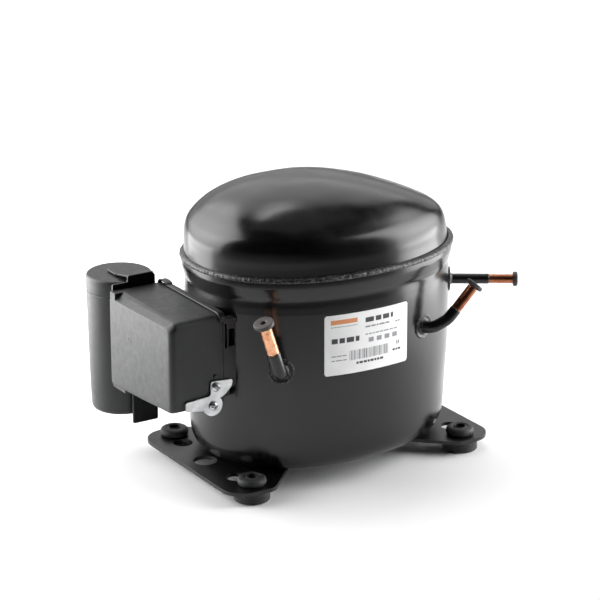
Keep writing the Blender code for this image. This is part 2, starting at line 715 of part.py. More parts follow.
def build_crank(mats):
    shaft = [(0, 24.0), (2.6, 24.0), (6.0, 36.0), (6.0, 44.0), (SHAFT_R, 45.0)]
    shaft += [(SHAFT_R, 128.0), (0, 128.0)]
    crank = place("crankshaft", turned(shaft, (0, 0, 0), sides=20), mats["iron"])
    web = arc(-THROW, 0, 9.2, 100, 260, 6) + arc(0, 0, 22.0, -70, 70, 8)
    pieces = (
        ("Web", prism(web, (124.6, 132.0)), "UNION"),
        ("Pin", turned([(0, 131.0), (PIN_RADIUS, 131.0), (PIN_RADIUS, 157.4), (0, 157.4)],
                       (-THROW, 0, 0), sides=18), "UNION"),
        ("Gallery", turned([(0, 151.0), (2.3, 151.0), (2.3, 160.0), (0, 160.0)],
                           (-THROW / 2, 0, 0), sides=10), "DIFFERENCE"),
    )
    for name, bm, operation in pieces:
        combine(crank, cutter("Crank_" + name, bm), operation)
    plug = [(0, 152.0), (2.0, 152.0), (2.0, 157.6), (1.6, 158.0), (0, 158.0)]
    plug = turned(plug, (-THROW / 2, 0, 0), sides=10)
    place("oil_gallery_plug", plug, mats["steel"], (-THROW / 2, 0, 152.0))

    block = prism(rectangle((-THROW - 9.0, -10.0), (-THROW + 9.0, 10.0), 1.0, 1), (138.0, 154.0),
                  holes=[round_hole(-THROW, 0, PIN_RADIUS + 0.35, 18)])
    place("slide_block", block, mats["iron"], (-THROW, 0, CYL_Z), smooth=False)

    yoke = prism(rectangle((-THROW - 14.3, -24.0), (-THROW + 14.3, 24.0), 4.0), (137.0, 155.0),
                 holes=[rectangle((-THROW - 9.35, -19.4), (-THROW + 9.35, 19.4))])
    piston = place("piston", yoke, mats["iron"], (-THROW, 0, CYL_Z), smooth=False)
    crown = [(0, 3.6), (8.0, 3.6), (8.0, 8.0), (PISTON_R, 8.0), (PISTON_R, 28.0), (PISTON_R - 0.8, 28.0)]
    crown += [(PISTON_R - 0.8, 30.0), (PISTON_R, 30.0), (PISTON_R, 35.8), (0, 35.8)]
    combine(piston, cutter("Piston_skirt", turned(crown, (0, 0, CYL_Z), (1, 0, 0), 20)), "UNION")
    relief = box((34.4, -4.3, 141.0), (37.0, 4.3, 156.6))  # room for the open suction reed
    combine(piston, cutter("Piston_relief", relief), "DIFFERENCE")


def build_block(mats):
    outline = rounded([(-48, -44), (48, -44), (48, 44), (-48, 44)], [10] * 4, 2)
    plate = prism(outline, (108.0, PLATE_TOP), holes=[round_hole(0, 0, SHAFT_R + 0.35, 20)])
    block = place("cylinder_block", plate, mats["iron"], smooth=False)
    ring = [(SHAFT_R + 0.35, 92.0), (15.0, 92.0), (16.0, 94.0), (17.0, 124.0), (SHAFT_R + 0.35, 124.0)]
    combine(block, cutter("Block_hub", turned(ring, (0, 0, 0), sides=20, ring_shape=True)), "UNION")
    x0, x1 = BLOCK_FACE_X
    boss = rectangle((-21.0, 118.0), (21.0, HEAD_Z[1]), 5.0)
    tool = prism(boss, (x0, x1), "X", [round_hole(0, CYL_Z, BORE_R, 24)])
    combine(block, cutter("Block_boss", tool), "UNION")
    for x in (-1, 1):
        for y in (-1, 1):
            spot = (x * BOLT_X, y * BOLT_Y, 0)
            leg = [(2.6, 88.4), (6.0, 88.4), (6.0, 110.0), (2.6, 110.0)]
            tag = str(x) + str(y)
            combine(block, cutter("Block_leg" + tag, turned(leg, spot, sides=10, ring_shape=True)), "UNION")
            bore = [(0, 86.0), (2.6, 86.0), (2.6, 113.0), (0, 113.0)]
            combine(block, cutter("Block_bore" + tag, turned(bore, spot, sides=10)), "DIFFERENCE")

    face = rectangle((-21.0, HEAD_Z[0]), (21.0, HEAD_Z[1]), 5.0)
    ports = [round_hole(0, CYL_Z + 5.5, 2.6, 10), round_hole(0, CYL_Z - 4.5, 2.6, 10)]
    place("valve_plate", prism(face, (55.0, 58.0), "X", ports), mats["steel"], smooth=False)

    head = place("cylinder_head", prism(face, (58.3, 73.0), "X"), mats["aluminium"], smooth=False)
    for name, z0, z1 in (("suction", 148.6, 160.4), ("discharge", 132.0, 146.4)):
        pocket = prism(rectangle((-15.0, z0), (15.0, z1), 3.0, 2), (50.0, 69.0), "X")
        combine(head, cutter("Head_" + name, pocket), "DIFFERENCE")
    for y in (-1, 1):
        for z in (-1, 1):
            spot = (0, y * 16.6, CYL_Z + z * 13.6)
            bolt = turned([(0, 72.0), (3.4, 72.0), (3.4, 76.4), (0, 76.4)], spot, (1, 0, 0), 6)
            combine(head, cutter("Head_bolt" + str(y) + str(z), bolt), "UNION")

    for name, x, root, waist, widest, tip in (
        ("suction_reed", 54.2, 138.4, 150.0, 151.5, 155.0),
        ("discharge_reed", 58.35, 145.6, 142.0, 141.0, 137.6),
    ):
        half = [(2.6, root), (2.6, waist), (3.4, widest), (2.6, tip)]
        blade = half + [(-y, z) for y, z in reversed(half)]
        hinge = (x + 0.2, 0, root + math.copysign(0.2, tip - root))
        place(name, prism(blade, (x, x + 0.4), "X"), mats["steel"], hinge, smooth=False)

    can = prism(rectangle((26.0, -53.0), (50.0, -25.0), 6.0), (126.0, 156.0))
    muffler = place("suction_muffler", can, mats["nylon"], smooth=False)
    inlet = [(0, 44.0), (3.6, 44.0), (3.6, 56.0), (0, 56.0)]
    tools = (
        ("Chamber", prism(rectangle((28.0, -51.0), (48.0, -27.0), 4.0), (128.0, 154.0)), "DIFFERENCE"),
        ("Inlet", turned(inlet, (0, -38.0, 136.0), (1, 0, 0), 10), "DIFFERENCE"),
        ("Neck", box((46.0, -31.5, 146.0), (66.0, -22.0, 153.6)), "UNION"),
    )
    for name, bm, operation in tools:
        combine(muffler, cutter("Muffler_" + name, bm), operation)

    can = [(0, 120.4), (11.0, 120.4), (12.5, 123.0), (12.5, 145.0), (10.0, 149.0), (0, 150.0)]
    place("discharge_muffler", turned(can, (36.0, 39.5, 0), sides=18), mats["steel"])
    normal = plan_normal(DISCHARGE_BASE)
    end = DISCHARGE_BASE - normal * 8.4
    route = [(36, 39.5, 150.6), (36, 39.5, 159), (8, 51, 159), (-42, 44, 150), (-69, 14, 140)]
    route += [(-69, -22, 126), (-42, -49, 108), (0, -57, 99.5), (24, -52, 98.8)]
    route += [end - normal * 8.0, end]
    path = soft_path([Vector(p) for p in route], 9.0, 3)
    place("discharge_loop", swept(path, 2.4, 6), mats["copper"])


def build():
    clear_scene()
    mats = {
        "paint": material("black_paint", (0.012, 0.012, 0.013), 0.0, 0.32),
        "plastic": material("black_plastic", (0.022, 0.022, 0.024), 0.0, 0.5),
        "rubber": material("grey_rubber", (0.045, 0.046, 0.048), 0.0, 0.75),
        "cap": material("cap_rubber", (0.05, 0.04, 0.038), 0.0, 0.6),
        "copper": material("copper_tube", (0.72, 0.33, 0.19), 1.0, 0.3),
        "zinc": material("zinc_plate", (0.72, 0.73, 0.75), 1.0, 0.32),
        "steel": material("bright_steel", (0.55, 0.56, 0.58), 1.0, 0.35),
        "iron": material("machined_iron", (0.32, 0.33, 0.34), 1.0, 0.45),
        "aluminium": material("cast_aluminium", (0.72, 0.73, 0.74), 1.0, 0.42),
        "enamel": material("enamelled_wire", (0.50, 0.20, 0.07), 0.4, 0.4),
        "relay": material("relay_plastic", (0.03, 0.03, 0.032), 0.0, 0.5),
        "nylon": material("muffler_nylon", (0.55, 0.52, 0.45), 0.0, 0.55),
        "label": material("label_white", (0.85, 0.85, 0.84), 0.0, 0.45),
    }
    build_shell(mats)
    build_base(mats)
    build_tubes(mats)
    build_terminal_box(mats)
    build_capacitor(mats)
    build_label(mats)
    build_motor(mats)
    build_crank(mats)
    build_block(mats)


build()
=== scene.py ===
"""Looks of the hermetic compressor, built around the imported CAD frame."""

import math
import random

import bmesh
import bpy
from mathutils import Matrix, Vector, noise
from mathutils.geometry import tessellate_polygon

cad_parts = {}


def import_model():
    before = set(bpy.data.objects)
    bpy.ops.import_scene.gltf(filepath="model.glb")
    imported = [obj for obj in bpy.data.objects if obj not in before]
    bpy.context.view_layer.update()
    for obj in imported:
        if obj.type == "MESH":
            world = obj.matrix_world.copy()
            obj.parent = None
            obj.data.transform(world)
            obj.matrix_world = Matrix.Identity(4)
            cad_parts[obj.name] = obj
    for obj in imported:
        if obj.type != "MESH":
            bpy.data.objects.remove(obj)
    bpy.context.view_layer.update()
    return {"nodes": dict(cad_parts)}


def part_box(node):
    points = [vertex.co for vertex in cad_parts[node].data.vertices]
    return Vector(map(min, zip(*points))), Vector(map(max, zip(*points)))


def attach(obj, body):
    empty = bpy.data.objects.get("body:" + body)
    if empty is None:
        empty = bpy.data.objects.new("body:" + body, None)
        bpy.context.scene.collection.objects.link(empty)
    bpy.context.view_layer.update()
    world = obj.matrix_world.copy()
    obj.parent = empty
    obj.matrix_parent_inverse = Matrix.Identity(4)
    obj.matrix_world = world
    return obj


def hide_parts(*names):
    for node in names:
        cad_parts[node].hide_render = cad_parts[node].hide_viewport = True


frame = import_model()

MM = 0.001
bead_low, bead_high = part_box("weld_bead")
CX = (bead_low.x + bead_high.x) / 2
CY = (bead_low.y + bead_high.y) / 2
POWER = 2.15
WALL_A, WALL_B = 92.5, 69.5
SIDES = 192


def centre_of(node):
    """Middle of a CAD node in shell millimetres."""
    low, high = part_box(node)
    mid = (low + high) / 2
    return Vector(((mid.x - CX) / MM, (mid.y - CY) / MM, mid.z / MM))


def span(node):
    """Box of a CAD node in shell millimetres."""
    low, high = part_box(node)
    shift = Vector((CX, CY, 0.0))
    return (low - shift) / MM, (high - shift) / MM


def world(p):
    """Shell millimetres to world metres."""
    return Vector((CX + p[0] * MM, CY + p[1] * MM, p[2] * MM))


# ---------------- materials


class Nodes:
    """Small builder for a Principled material."""

    def __init__(self, name, colour, roughness, metallic=0.0, **extra):
        self.mat = bpy.data.materials.new(name)
        self.mat.use_nodes = True
        self.tree = self.mat.node_tree
        self.shader = self.tree.nodes["Principled BSDF"]
        self.coords = self.add("ShaderNodeTexCoord").outputs["Object"]
        self.set(self.shader, "Base Color", (*colour, 1.0))
        self.set(self.shader, "Roughness", roughness)
        self.set(self.shader, "Metallic", metallic)
        for key, value in extra.items():
            self.set(self.shader, key.replace("_", " "), value)
        self.height = None

    def add(self, kind, **values):
        node = self.tree.nodes.new(kind)
        for key, value in values.items():
            setattr(node, key, value)
        return node

    def set(self, node, socket, value):
        node.inputs[socket].default_value = value

    def link(self, a, b):
        self.tree.links.new(a, b)

    def noise(self, scale, detail=3.0, rough=0.55, stretch=None, distortion=0.0):
        node = self.add("ShaderNodeTexNoise")
        self.set(node, "Scale", scale)
        self.set(node, "Detail", detail)
        self.set(node, "Roughness", rough)
        self.set(node, "Distortion", distortion)
        source = self.coords
        if stretch:
            mapping = self.add("ShaderNodeMapping")
            mapping.inputs["Scale"].default_value = stretch
            self.link(source, mapping.inputs["Vector"])
            source = mapping.outputs["Vector"]
        self.link(source, node.inputs["Vector"])
        return node.outputs["Fac"]

    def cells(self, scale):
        node = self.add("ShaderNodeTexVoronoi")
        self.set(node, "Scale", scale)
        self.link(self.coords, node.inputs["Vector"])
        return node.outputs["Distance"]

    def ramp(self, source, stops):
        node = self.add("ShaderNodeValToRGB")
        ramp = node.color_ramp
        while len(ramp.elements) < len(stops):
            ramp.elements.new(0.5)
        for element, (at, value) in zip(ramp.elements, stops):
            element.position = at
            element.color = (*value, 1.0) if hasattr(value, "__len__") else (value,) * 3 + (1.0,)
        self.link(source, node.inputs["Fac"])
        return node.outputs["Color"]

    def span(self, source, low, high, a=0.3, b=0.7):
        node = self.add("ShaderNodeMapRange")
        for socket, value in (("From Min", a), ("From Max", b), ("To Min", low), ("To Max", high)):
            self.set(node, socket, value)
        self.link(source, node.inputs["Value"])
        return node.outputs["Result"]

    def colour(self, source):
        self.link(source, self.shader.inputs["Base Color"])
        return self

    def rough(self, source):
        self.link(source, self.shader.inputs["Roughness"])
        return self

    def bump(self, source, distance, strength=1.0):
        node = self.add("ShaderNodeBump")
        self.set(node, "Distance", distance)
        self.set(node, "Strength", strength)
        self.link(source, node.inputs["Height"])
        if self.height is not None:
            self.link(self.height, node.inputs["Normal"])
        self.height = node.outputs["Normal"]
        self.link(self.height, self.shader.inputs["Normal"])
        return self


def paint_material(name, rough=0.21, ripple=1.0):
    """Semi-gloss black paint: orange peel, slight handling haze, a few dust nibs."""
    m = Nodes(name, (0.0022, 0.0022, 0.0024), rough, 0.0, Specular_IOR_Level=0.5)
    haze = m.noise(26.0, 4.0, 0.6)
    m.colour(m.ramp(haze, [(0.3, (0.0014, 0.0014, 0.0016)), (0.72, (0.0032, 0.0032, 0.0035))]))
    m.rough(m.span(m.noise(60.0, 5.0, 0.65), rough - 0.035, rough + 0.06))
    m.bump(m.noise(620.0, 2.0, 0.5), 0.00002 * ripple, 0.55)
    m.bump(m.noise(2600.0, 2.0, 0.6), 0.000006 * ripple, 0.5)
    return m.mat


def weld_material(name):
    """Paint over a weld: stringy relief, with grey flecks of painted highlight standing in for glints on the
    bead.
    """
    m = Nodes(name, (0.006, 0.006, 0.0065), 0.36, 0.0, Specular_IOR_Level=0.5)
    # grey flecks are painted highlight: glints of the bead set into the colour
    painted_glint = m.noise(820.0, 4.0, 0.7)
    m.colour(m.ramp(painted_glint, [(0.50, (0.0035, 0.0035, 0.0038)), (0.62, (0.13, 0.127, 0.124))]))
    m.rough(m.span(m.noise(500.0, 4.0, 0.65), 0.26, 0.48))
    m.bump(m.noise(900.0, 4.0, 0.7), 0.00035, 0.8)
    return m.mat


def plastic_material(name, base, rough=0.46, grain=1.0):
    """Moulded black plastic with spark-eroded grain and faint flow variation."""
    m = Nodes(name, base, rough, 0.0, Specular_IOR_Level=0.5)
    flow = m.noise(38.0, 4.0, 0.6, stretch=(1.0, 1.0, 0.35))
    light = tuple(c * 1.32 for c in base)
    dark = tuple(c * 0.86 for c in base)
    m.colour(m.ramp(flow, [(0.3, dark), (0.75, light)]))
    m.rough(m.span(m.noise(240.0, 4.0, 0.6), rough - 0.05, rough + 0.08))
    m.bump(m.cells(3400.0), 0.000018 * grain, 0.5)
    m.bump(m.noise(900.0, 3.0, 0.6), 0.000016 * grain, 0.4)
    return m.mat


def rubber_material(name, base, rough=0.62):
    """Matt rubber with a greyish bloom."""
    m = Nodes(name, base, rough, 0.0, Specular_IOR_Level=0.42)
    bloom = m.noise(150.0, 6.0, 0.68)
    m.colour(m.ramp(bloom, [(0.3, tuple(c * 0.75 for c in base)), (0.74, tuple(c * 1.7 for c in base))]))
    m.rough(m.span(m.noise(420.0, 3.0, 0.6), rough - 0.08, rough + 0.14))
    m.bump(m.noise(1500.0, 4.0, 0.65), 0.00004, 0.5)
    m.bump(m.noise(260.0, 3.0, 0.6), 0.00005, 0.35)
    return m.mat


def copper_material(name, dark, middle, bright):
    """Drawn copper with brown oxide blooms and fine scratches."""
    m = Nodes(name, middle, 0.28, 1.0)
    stain = m.noise(210.0, 6.0, 0.66, distortion=0.4)
    m.colour(m.ramp(stain, [(0.30, dark), (0.50, middle), (0.8, bright)]))
    m.rough(m.span(m.noise(330.0, 5.0, 0.7), 0.22, 0.42))
    m.bump(m.noise(1700.0, 4.0, 0.7), 0.000014, 0.6)
    return m.mat


def zinc_material(name):
    """Bright zinc plate with a fine rolled grain and soft clouding."""
    m = Nodes(name, (0.80, 0.81, 0.83), 0.30, 1.0)
    cloud = m.noise(130.0, 5.0, 0.62)
    m.colour(m.ramp(cloud, [(0.3, (0.46, 0.47, 0.49)), (0.7, (0.74, 0.745, 0.75))]))
    m.rough(m.span(m.noise(520.0, 4.0, 0.6, stretch=(0.2, 1.0, 1.0)), 0.24, 0.44))
    m.bump(m.noise(2400.0, 3.0, 0.6, stretch=(0.12, 1.0, 1.0)), 0.000008, 0.5)
    return m.mat


def metal_material(name, base, rough, streak=(1.0, 1.0, 1.0), spread=0.2):
    """Turned, cast or drawn metal with streaks along one direction."""
    m = Nodes(name, base, rough, 1.0)
    tone = m.noise(90.0, 5.0, 0.6)
    m.colour(m.ramp(tone, [(0.3, tuple(c * (1 - spread) for c in base)),
                           (0.7, tuple(min(1.0, c * (1 + spread)) for c in base))]))
    m.rough(m.span(m.noise(600.0, 4.0, 0.6, stretch=streak), rough - 0.08, rough + 0.12))
    m.bump(m.noise(1500.0, 4.0, 0.65, stretch=streak), 0.000015, 0.5)
    return m.mat


def film_material(name, base, rough=0.42):
    """Printed film with a faint tone change."""
    m = Nodes(name, base, rough, 0.0)
    tone = m.noise(70.0, 4.0, 0.6)
    m.colour(m.ramp(tone, [(0.3, tuple(c * 0.95 for c in base)),
                           (0.7, tuple(min(1.0, c * 1.03) for c in base))]))
    m.rough(m.span(m.noise(700.0, 3.0, 0.6), rough - 0.06, rough + 0.08))
    m.bump(m.noise(1300.0, 3.0, 0.6), 0.000006, 0.4)
    return m.mat


def winding_material(name):
    """Enamelled copper wire bundles: fine wavy strands round the ring."""
    m = Nodes(name, (0.50, 0.20, 0.07), 0.34, 0.55)
    wave = m.add("ShaderNodeTexWave", wave_type="RINGS", rings_direction="Z")
    m.set(wave, "Scale", 260.0)
    m.set(wave, "Distortion", 2.2)
    m.set(wave, "Detail", 2.0)
    m.link(m.coords, wave.inputs["Vector"])
    m.colour(m.ramp(wave.outputs["Fac"], [(0.1, (0.16, 0.055, 0.02)), (0.6, (0.55, 0.23, 0.085))]))
    m.bump(wave.outputs["Fac"], 0.00025, 0.8)
    return m.mat


PAINT = paint_material("paint_black")
PAINT_SEAM = weld_material("paint_weld")
PAINT_PLATE = paint_material("paint_plate", 0.36, 1.5)
PAINT_TUBE = paint_material("paint_tube", 0.31, 1.6)
PLASTIC = plastic_material("plastic_box", (0.0105, 0.011, 0.0118), 0.44)
PLASTIC_CAP = plastic_material("plastic_holder", (0.0095, 0.010, 0.0108), 0.40)
RELAY = plastic_material("plastic_relay", (0.018, 0.018, 0.019), 0.5, 1.4)
RUBBER = rubber_material("rubber_foot", (0.016, 0.0165, 0.0175))
PLUG = rubber_material("rubber_plug", (0.056, 0.050, 0.049), 0.55)
COPPER = copper_material("copper_drawn", (0.43, 0.17, 0.085), (0.79, 0.40, 0.235), (0.93, 0.56, 0.37))
# darker copy of the drawn copper for the discharge and suction ends: painted shade
COPPER_PAINTED_SHADE = copper_material("copper_painted_shade", (0.20, 0.065, 0.03), (0.36, 0.13, 0.065), (0.60, 0.27, 0.15))
ZINC = zinc_material("zinc_plate")
STEEL = metal_material("steel_plain", (0.56, 0.57, 0.59), 0.34, (1.0, 1.0, 0.1))
SPRING = metal_material("steel_spring", (0.48, 0.48, 0.50), 0.30)
IRON = metal_material("iron_machined", (0.30, 0.31, 0.32), 0.42)
LAMINATION = metal_material("lamination_stack", (0.25, 0.26, 0.29), 0.45, (0.05, 0.05, 6.0))
ALUMINIUM = metal_material("aluminium_cast", (0.72, 0.73, 0.74), 0.42, (1.0, 1.0, 1.0), 0.1)
NYLON = plastic_material("nylon_muffler", (0.55, 0.52, 0.45), 0.5)
WIRE = winding_material("winding_wire")
FILM = film_material("label_film", (0.90, 0.90, 0.90))
INK_DARK = film_material("label_ink_dark", (0.045, 0.045, 0.05), 0.5)
INK_GREY = film_material("label_ink_grey", (0.30, 0.30, 0.31), 0.5)
INK_WARM = film_material("label_ink_warm", (0.72, 0.28, 0.11), 0.5)


# ---------------- mesh helpers


def finish_piece(name, bm, mats, body, nodes=(), smooth=40.0, bevel=None, levels=0):
    """Turns a bmesh in shell millimetres into a piece that rides on a CAD body."""
    bmesh.ops.recalc_face_normals(bm, faces=bm.faces)
    for vert in bm.verts:
        vert.co = world(vert.co)
    mesh = bpy.data.meshes.new(name)
    bm.to_mesh(mesh)
    bm.free()
    for mat in mats if isinstance(mats, (list, tuple)) else [mats]:
        mesh.materials.append(mat)
    obj = bpy.data.objects.new(name, mesh)
    bpy.context.scene.collection.objects.link(obj)
    if bevel:
        mod = obj.modifiers.new("Edge", "BEVEL")
        mod.width = bevel[0] * MM
        mod.segments = bevel[1]
        mod.limit_method = "ANGLE"
        mod.angle_limit = math.radians(bevel[2] if len(bevel) > 2 else 35.0)
        mod.harden_normals = False
    if levels:
        mod = obj.modifiers.new("Smooth", "SUBSURF")
        mod.levels = mod.render_levels = levels
    mesh.shade_smooth()
    mesh.set_sharp_from_angle(angle=math.radians(smooth))
    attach(obj, body)
    if nodes:
        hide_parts(*nodes)
    return obj


def skin(bm, loops, close=False):
    """Joins each loop of vertices to the next; a loop of one vertex is a pole."""
    pairs = list(zip(loops, loops[1:]))
    if close:
        pairs.append((loops[-1], loops[0]))
    for low, high in pairs:
        count = max(len(low), len(high))
        for i in range(count):
            j = (i + 1) % count
            if len(low) == 1:
                bm.faces.new((low[0], high[j], high[i]))
            elif len(high) == 1:
                bm.faces.new((low[i], low[j], high[0]))
            else:
                bm.faces.new((low[i], low[j], high[j], high[i]))


def loft(rings, close=False, bm=None):
    """Closed body through rings of points, capped at both ends or joined end to end."""
    bm = bm or bmesh.new()
    loops = [[bm.verts.new(p) for p in ring] for ring in rings]
    skin(bm, loops, close)
    if not close:
        for loop in (loops[0], loops[-1]):
            if len(loop) > 1:
                bm.faces.new(loop)
    return bm


def cup(outer, inner):
    """Hollow body: outer rings run from the rim to a pole, inner rings from a pole to the rim."""
    bm = bmesh.new()
    made = [[[bm.verts.new(p) for p in ring] for ring in rings] for rings in (outer, inner)]
    for loops in made:
        skin(bm, loops)
    skin(bm, [made[0][0], made[1][-1]])
    return bm


def circle(centre, axis, radius, sides):
    """Ring of points round an axis."""
    axis = Vector(axis).normalized()
    u = axis.orthogonal().normalized()
    v = axis.cross(u)
    turns = [2 * math.pi * i / sides for i in range(sides)]
    return [Vector(centre) + radius * (math.cos(t) * u + math.sin(t) * v) for t in turns]


def turned(profile, centre, axis=(0, 0, 1), sides=64, close=False, bm=None):
    """Body of revolution from (radius, height) pairs; radius 0 is a pole."""
    direction = Vector(axis).normalized()
    rings = []
    for radius, height in profile:
        mid = Vector(centre) + height * direction
        rings.append([mid] if radius == 0 else circle(mid, direction, radius, sides))
    return loft(rings, close, bm)


def soft_profile(points, radii, steps=4):
    """Fillets the corners of an open (radius, height) profile."""
    out = [tuple(points[0])]
    for i in range(1, len(points) - 1):
        here, before, after = Vector(points[i]), Vector(points[i - 1]), Vector(points[i + 1])
        radius = radii[i] if hasattr(radii, "__len__") else radii
        if radius <= 0:
            out.append(tuple(here))
            continue
        back, ahead = before - here, after - here
        reach = min(radius, back.length * 0.48, ahead.length * 0.48)
        first, last = here + back.normalized() * reach, here + ahead.normalized() * reach
        for k in range(steps + 1):
            t = k / steps
            p = first * (1 - t) ** 2 + here * 2 * t * (1 - t) + last * t * t
            out.append(tuple(p))
    out.append(tuple(points[-1]))
    return out


def smooth_curve(points, steps):
    """Catmull-Rom through points of any dimension."""
    out = []
    data = [Vector(p) for p in points]
    data = [data[0] * 2 - data[1]] + data + [data[-1] * 2 - data[-2]]
    for a, b, c, d in zip(data, data[1:], data[2:], data[3:]):
        for k in range(steps):
            t = k / steps
            out.append(
                0.5 * ((2 * b) + (c - a) * t + (2 * a - 5 * b + 4 * c - d) * t * t
                       + (3 * b - a - 3 * c + d) * t ** 3)
            )
    out.append(data[-2])
    return out


def plan_point(turn, a, b, z, power=POWER):
    """Point of the shell's rounded-square plan with half axes a and b."""
    c, s = math.cos(turn), math.sin(turn)
    x = math.copysign(abs(c) ** (2 / power), c) * a
    y = math.copysign(abs(s) ** (2 / power), s) * b
    return Vector((x, y, z))


def oval(a, b, z, power=POWER, shift_x=0.0, shift_y=0.0):
    """Ring of plan points, moved sideways by its shifts."""
    shift = Vector((shift_x, shift_y, 0.0))
    return [plan_point(2 * math.pi * i / SIDES, a, b, z, power) + shift for i in range(SIDES)]


def wall_y(x, offset=0.0):
    """Y of the shell's front wall at x, or of a surface that lies offset outside it."""
    a, b = WALL_A + offset, WALL_B + offset
    return -b * (1 - abs(x / a) ** POWER) ** (1 / POWER)


def plan_normal(point, a=WALL_A, b=WALL_B):
    """Direction that points straight out of the plan with half axes a and b."""
    nx = math.copysign(abs(point.x / a) ** (POWER - 1) / a, point.x)
    ny = math.copysign(abs(point.y / b) ** (POWER - 1) / b, point.y)
    return Vector((nx, ny, 0)).normalized()


def arc(cx, cy, radius, start, end, steps):
    """Points of an arc, its ends in degrees."""
    turns = [math.radians(start + (end - start) * i / steps) for i in range(steps + 1)]
    return [(cx + radius * math.cos(t), cy + radius * math.sin(t)) for t in turns]


def rounded(points, radii, steps=6):
    """Closed polygon with filleted corners."""
    out = []
    count = len(points)
    for i, radius in enumerate(radii):
        here = Vector(points[i])
        if radius == 0:
            out.append(tuple(here))
            continue
        before = (Vector(points[i - 1]) - here).normalized()
        after = (Vector(points[(i + 1) % count]) - here).normalized()
        half = before.angle(after) / 2
        reach = radius / math.tan(half)
        centre = here + (before + after).normalized() * radius / math.sin(half)
        first = here + before * reach - centre
        last = here + after * reach - centre
        sweep = first.angle_signed(last)
        for k in range(steps + 1):
            c, s = math.cos(-sweep * k / steps), math.sin(-sweep * k / steps)
            out.append((centre.x + first.x * c - first.y * s, centre.y + first.x * s + first.y * c))
    return out


def rectangle(lo, hi, radius=0.0, steps=5):
    """Outline between two opposite corners."""
    corners = [(lo[0], lo[1]), (hi[0], lo[1]), (hi[0], hi[1]), (lo[0], hi[1])]
    return rounded(corners, [radius] * 4, steps)


def lay(plane, u, v, depth):
    """Point of a flat outline, set at a depth along the axis that plane names."""
    if plane == "Z":
        return Vector((u, v, depth))
    if plane == "Y":
        return Vector((u, depth, v))
    return Vector((depth, u, v))


def prism(outline, depth, plane="Z", holes=(), bm=None):
    """Flat outline with holes, extruded between two depths."""
    loops = [list(outline)] + [list(h) for h in holes]
    flat = [p for loop in loops for p in loop]
    bm = bm or bmesh.new()
    low = [bm.verts.new(lay(plane, p[0], p[1], depth[0])) for p in flat]
    high = [bm.verts.new(lay(plane, p[0], p[1], depth[1])) for p in flat]
    if len(loops) == 1:
        bm.faces.new(low)
        bm.faces.new(list(reversed(high)))
    else:
        for a, b, c in tessellate_polygon([[Vector((*p, 0)) for p in loop] for loop in loops]):
            bm.faces.new((low[a], low[b], low[c]))
            bm.faces.new((high[c], high[b], high[a]))
    start = 0
    for loop in loops:
        count = len(loop)
        for i in range(count):
            p, q = start + i, start + (i + 1) % count
            bm.faces.new((low[p], low[q], high[q], high[p]))
        start += count
    return bm


def soft_path(points, radius, steps=10):
    """Polyline with its corners bent to a radius."""
    out = [Vector(points[0])]
    for before, here, after in zip(points, points[1:], points[2:]):
        here = Vector(here)
        back, ahead = Vector(before) - here, Vector(after) - here
        half = back.angle(ahead) / 2
        reach = min(radius / math.tan(half), back.length * 0.48, ahead.length * 0.48)
        first, last = here + back.normalized() * reach, here + ahead.normalized() * reach
        for k in range(steps + 1):
            t = k / steps
            out.append(first * (1 - t) ** 2 + here * 2 * t * (1 - t) + last * t * t)
    out.append(Vector(points[-1]))
    return out


def swept(path, radii, sides=40, bore=None, bm=None):
    """Round bar or tube along a path; radii is one value or one for each point."""
    if not hasattr(radii, "__len__"):
        radii = [radii] * len(path)
    last = len(path) - 1
    tangents = [(path[min(i + 1, last)] - path[max(i - 1, 0)]).normalized() for i in range(last + 1)]
    u = tangents[0].orthogonal().normalized()
    outer, inner = [], []
    for point, tangent, radius in zip(path, tangents, radii):
        u = (u - tangent * u.dot(tangent)).normalized()
        v = tangent.cross(u)
        spokes = []
        for k in range(sides):
            t = 2 * math.pi * k / sides
            spokes.append(math.cos(t) * u + math.sin(t) * v)
        outer.append([point + radius * s for s in spokes])
        if bore:
            inner.append([point + bore * s for s in spokes])
    if not bore:
        return loft(outer, bm=bm)
    return loft(outer + inner[::-1], close=True, bm=bm)


def split_path(path, length):
    """Cuts a path at a distance from its end; returns the parts before and after."""
    left = length
    for i in range(len(path) - 1, 0, -1):
        step = (path[i] - path[i - 1]).length
        if step >= left:
            cut = path[i] + (path[i - 1] - path[i]).normalized() * left
            return path[:i] + [cut], [cut] + path[i:]
        left -= step
    return path[:1], path


# ---------------- shell


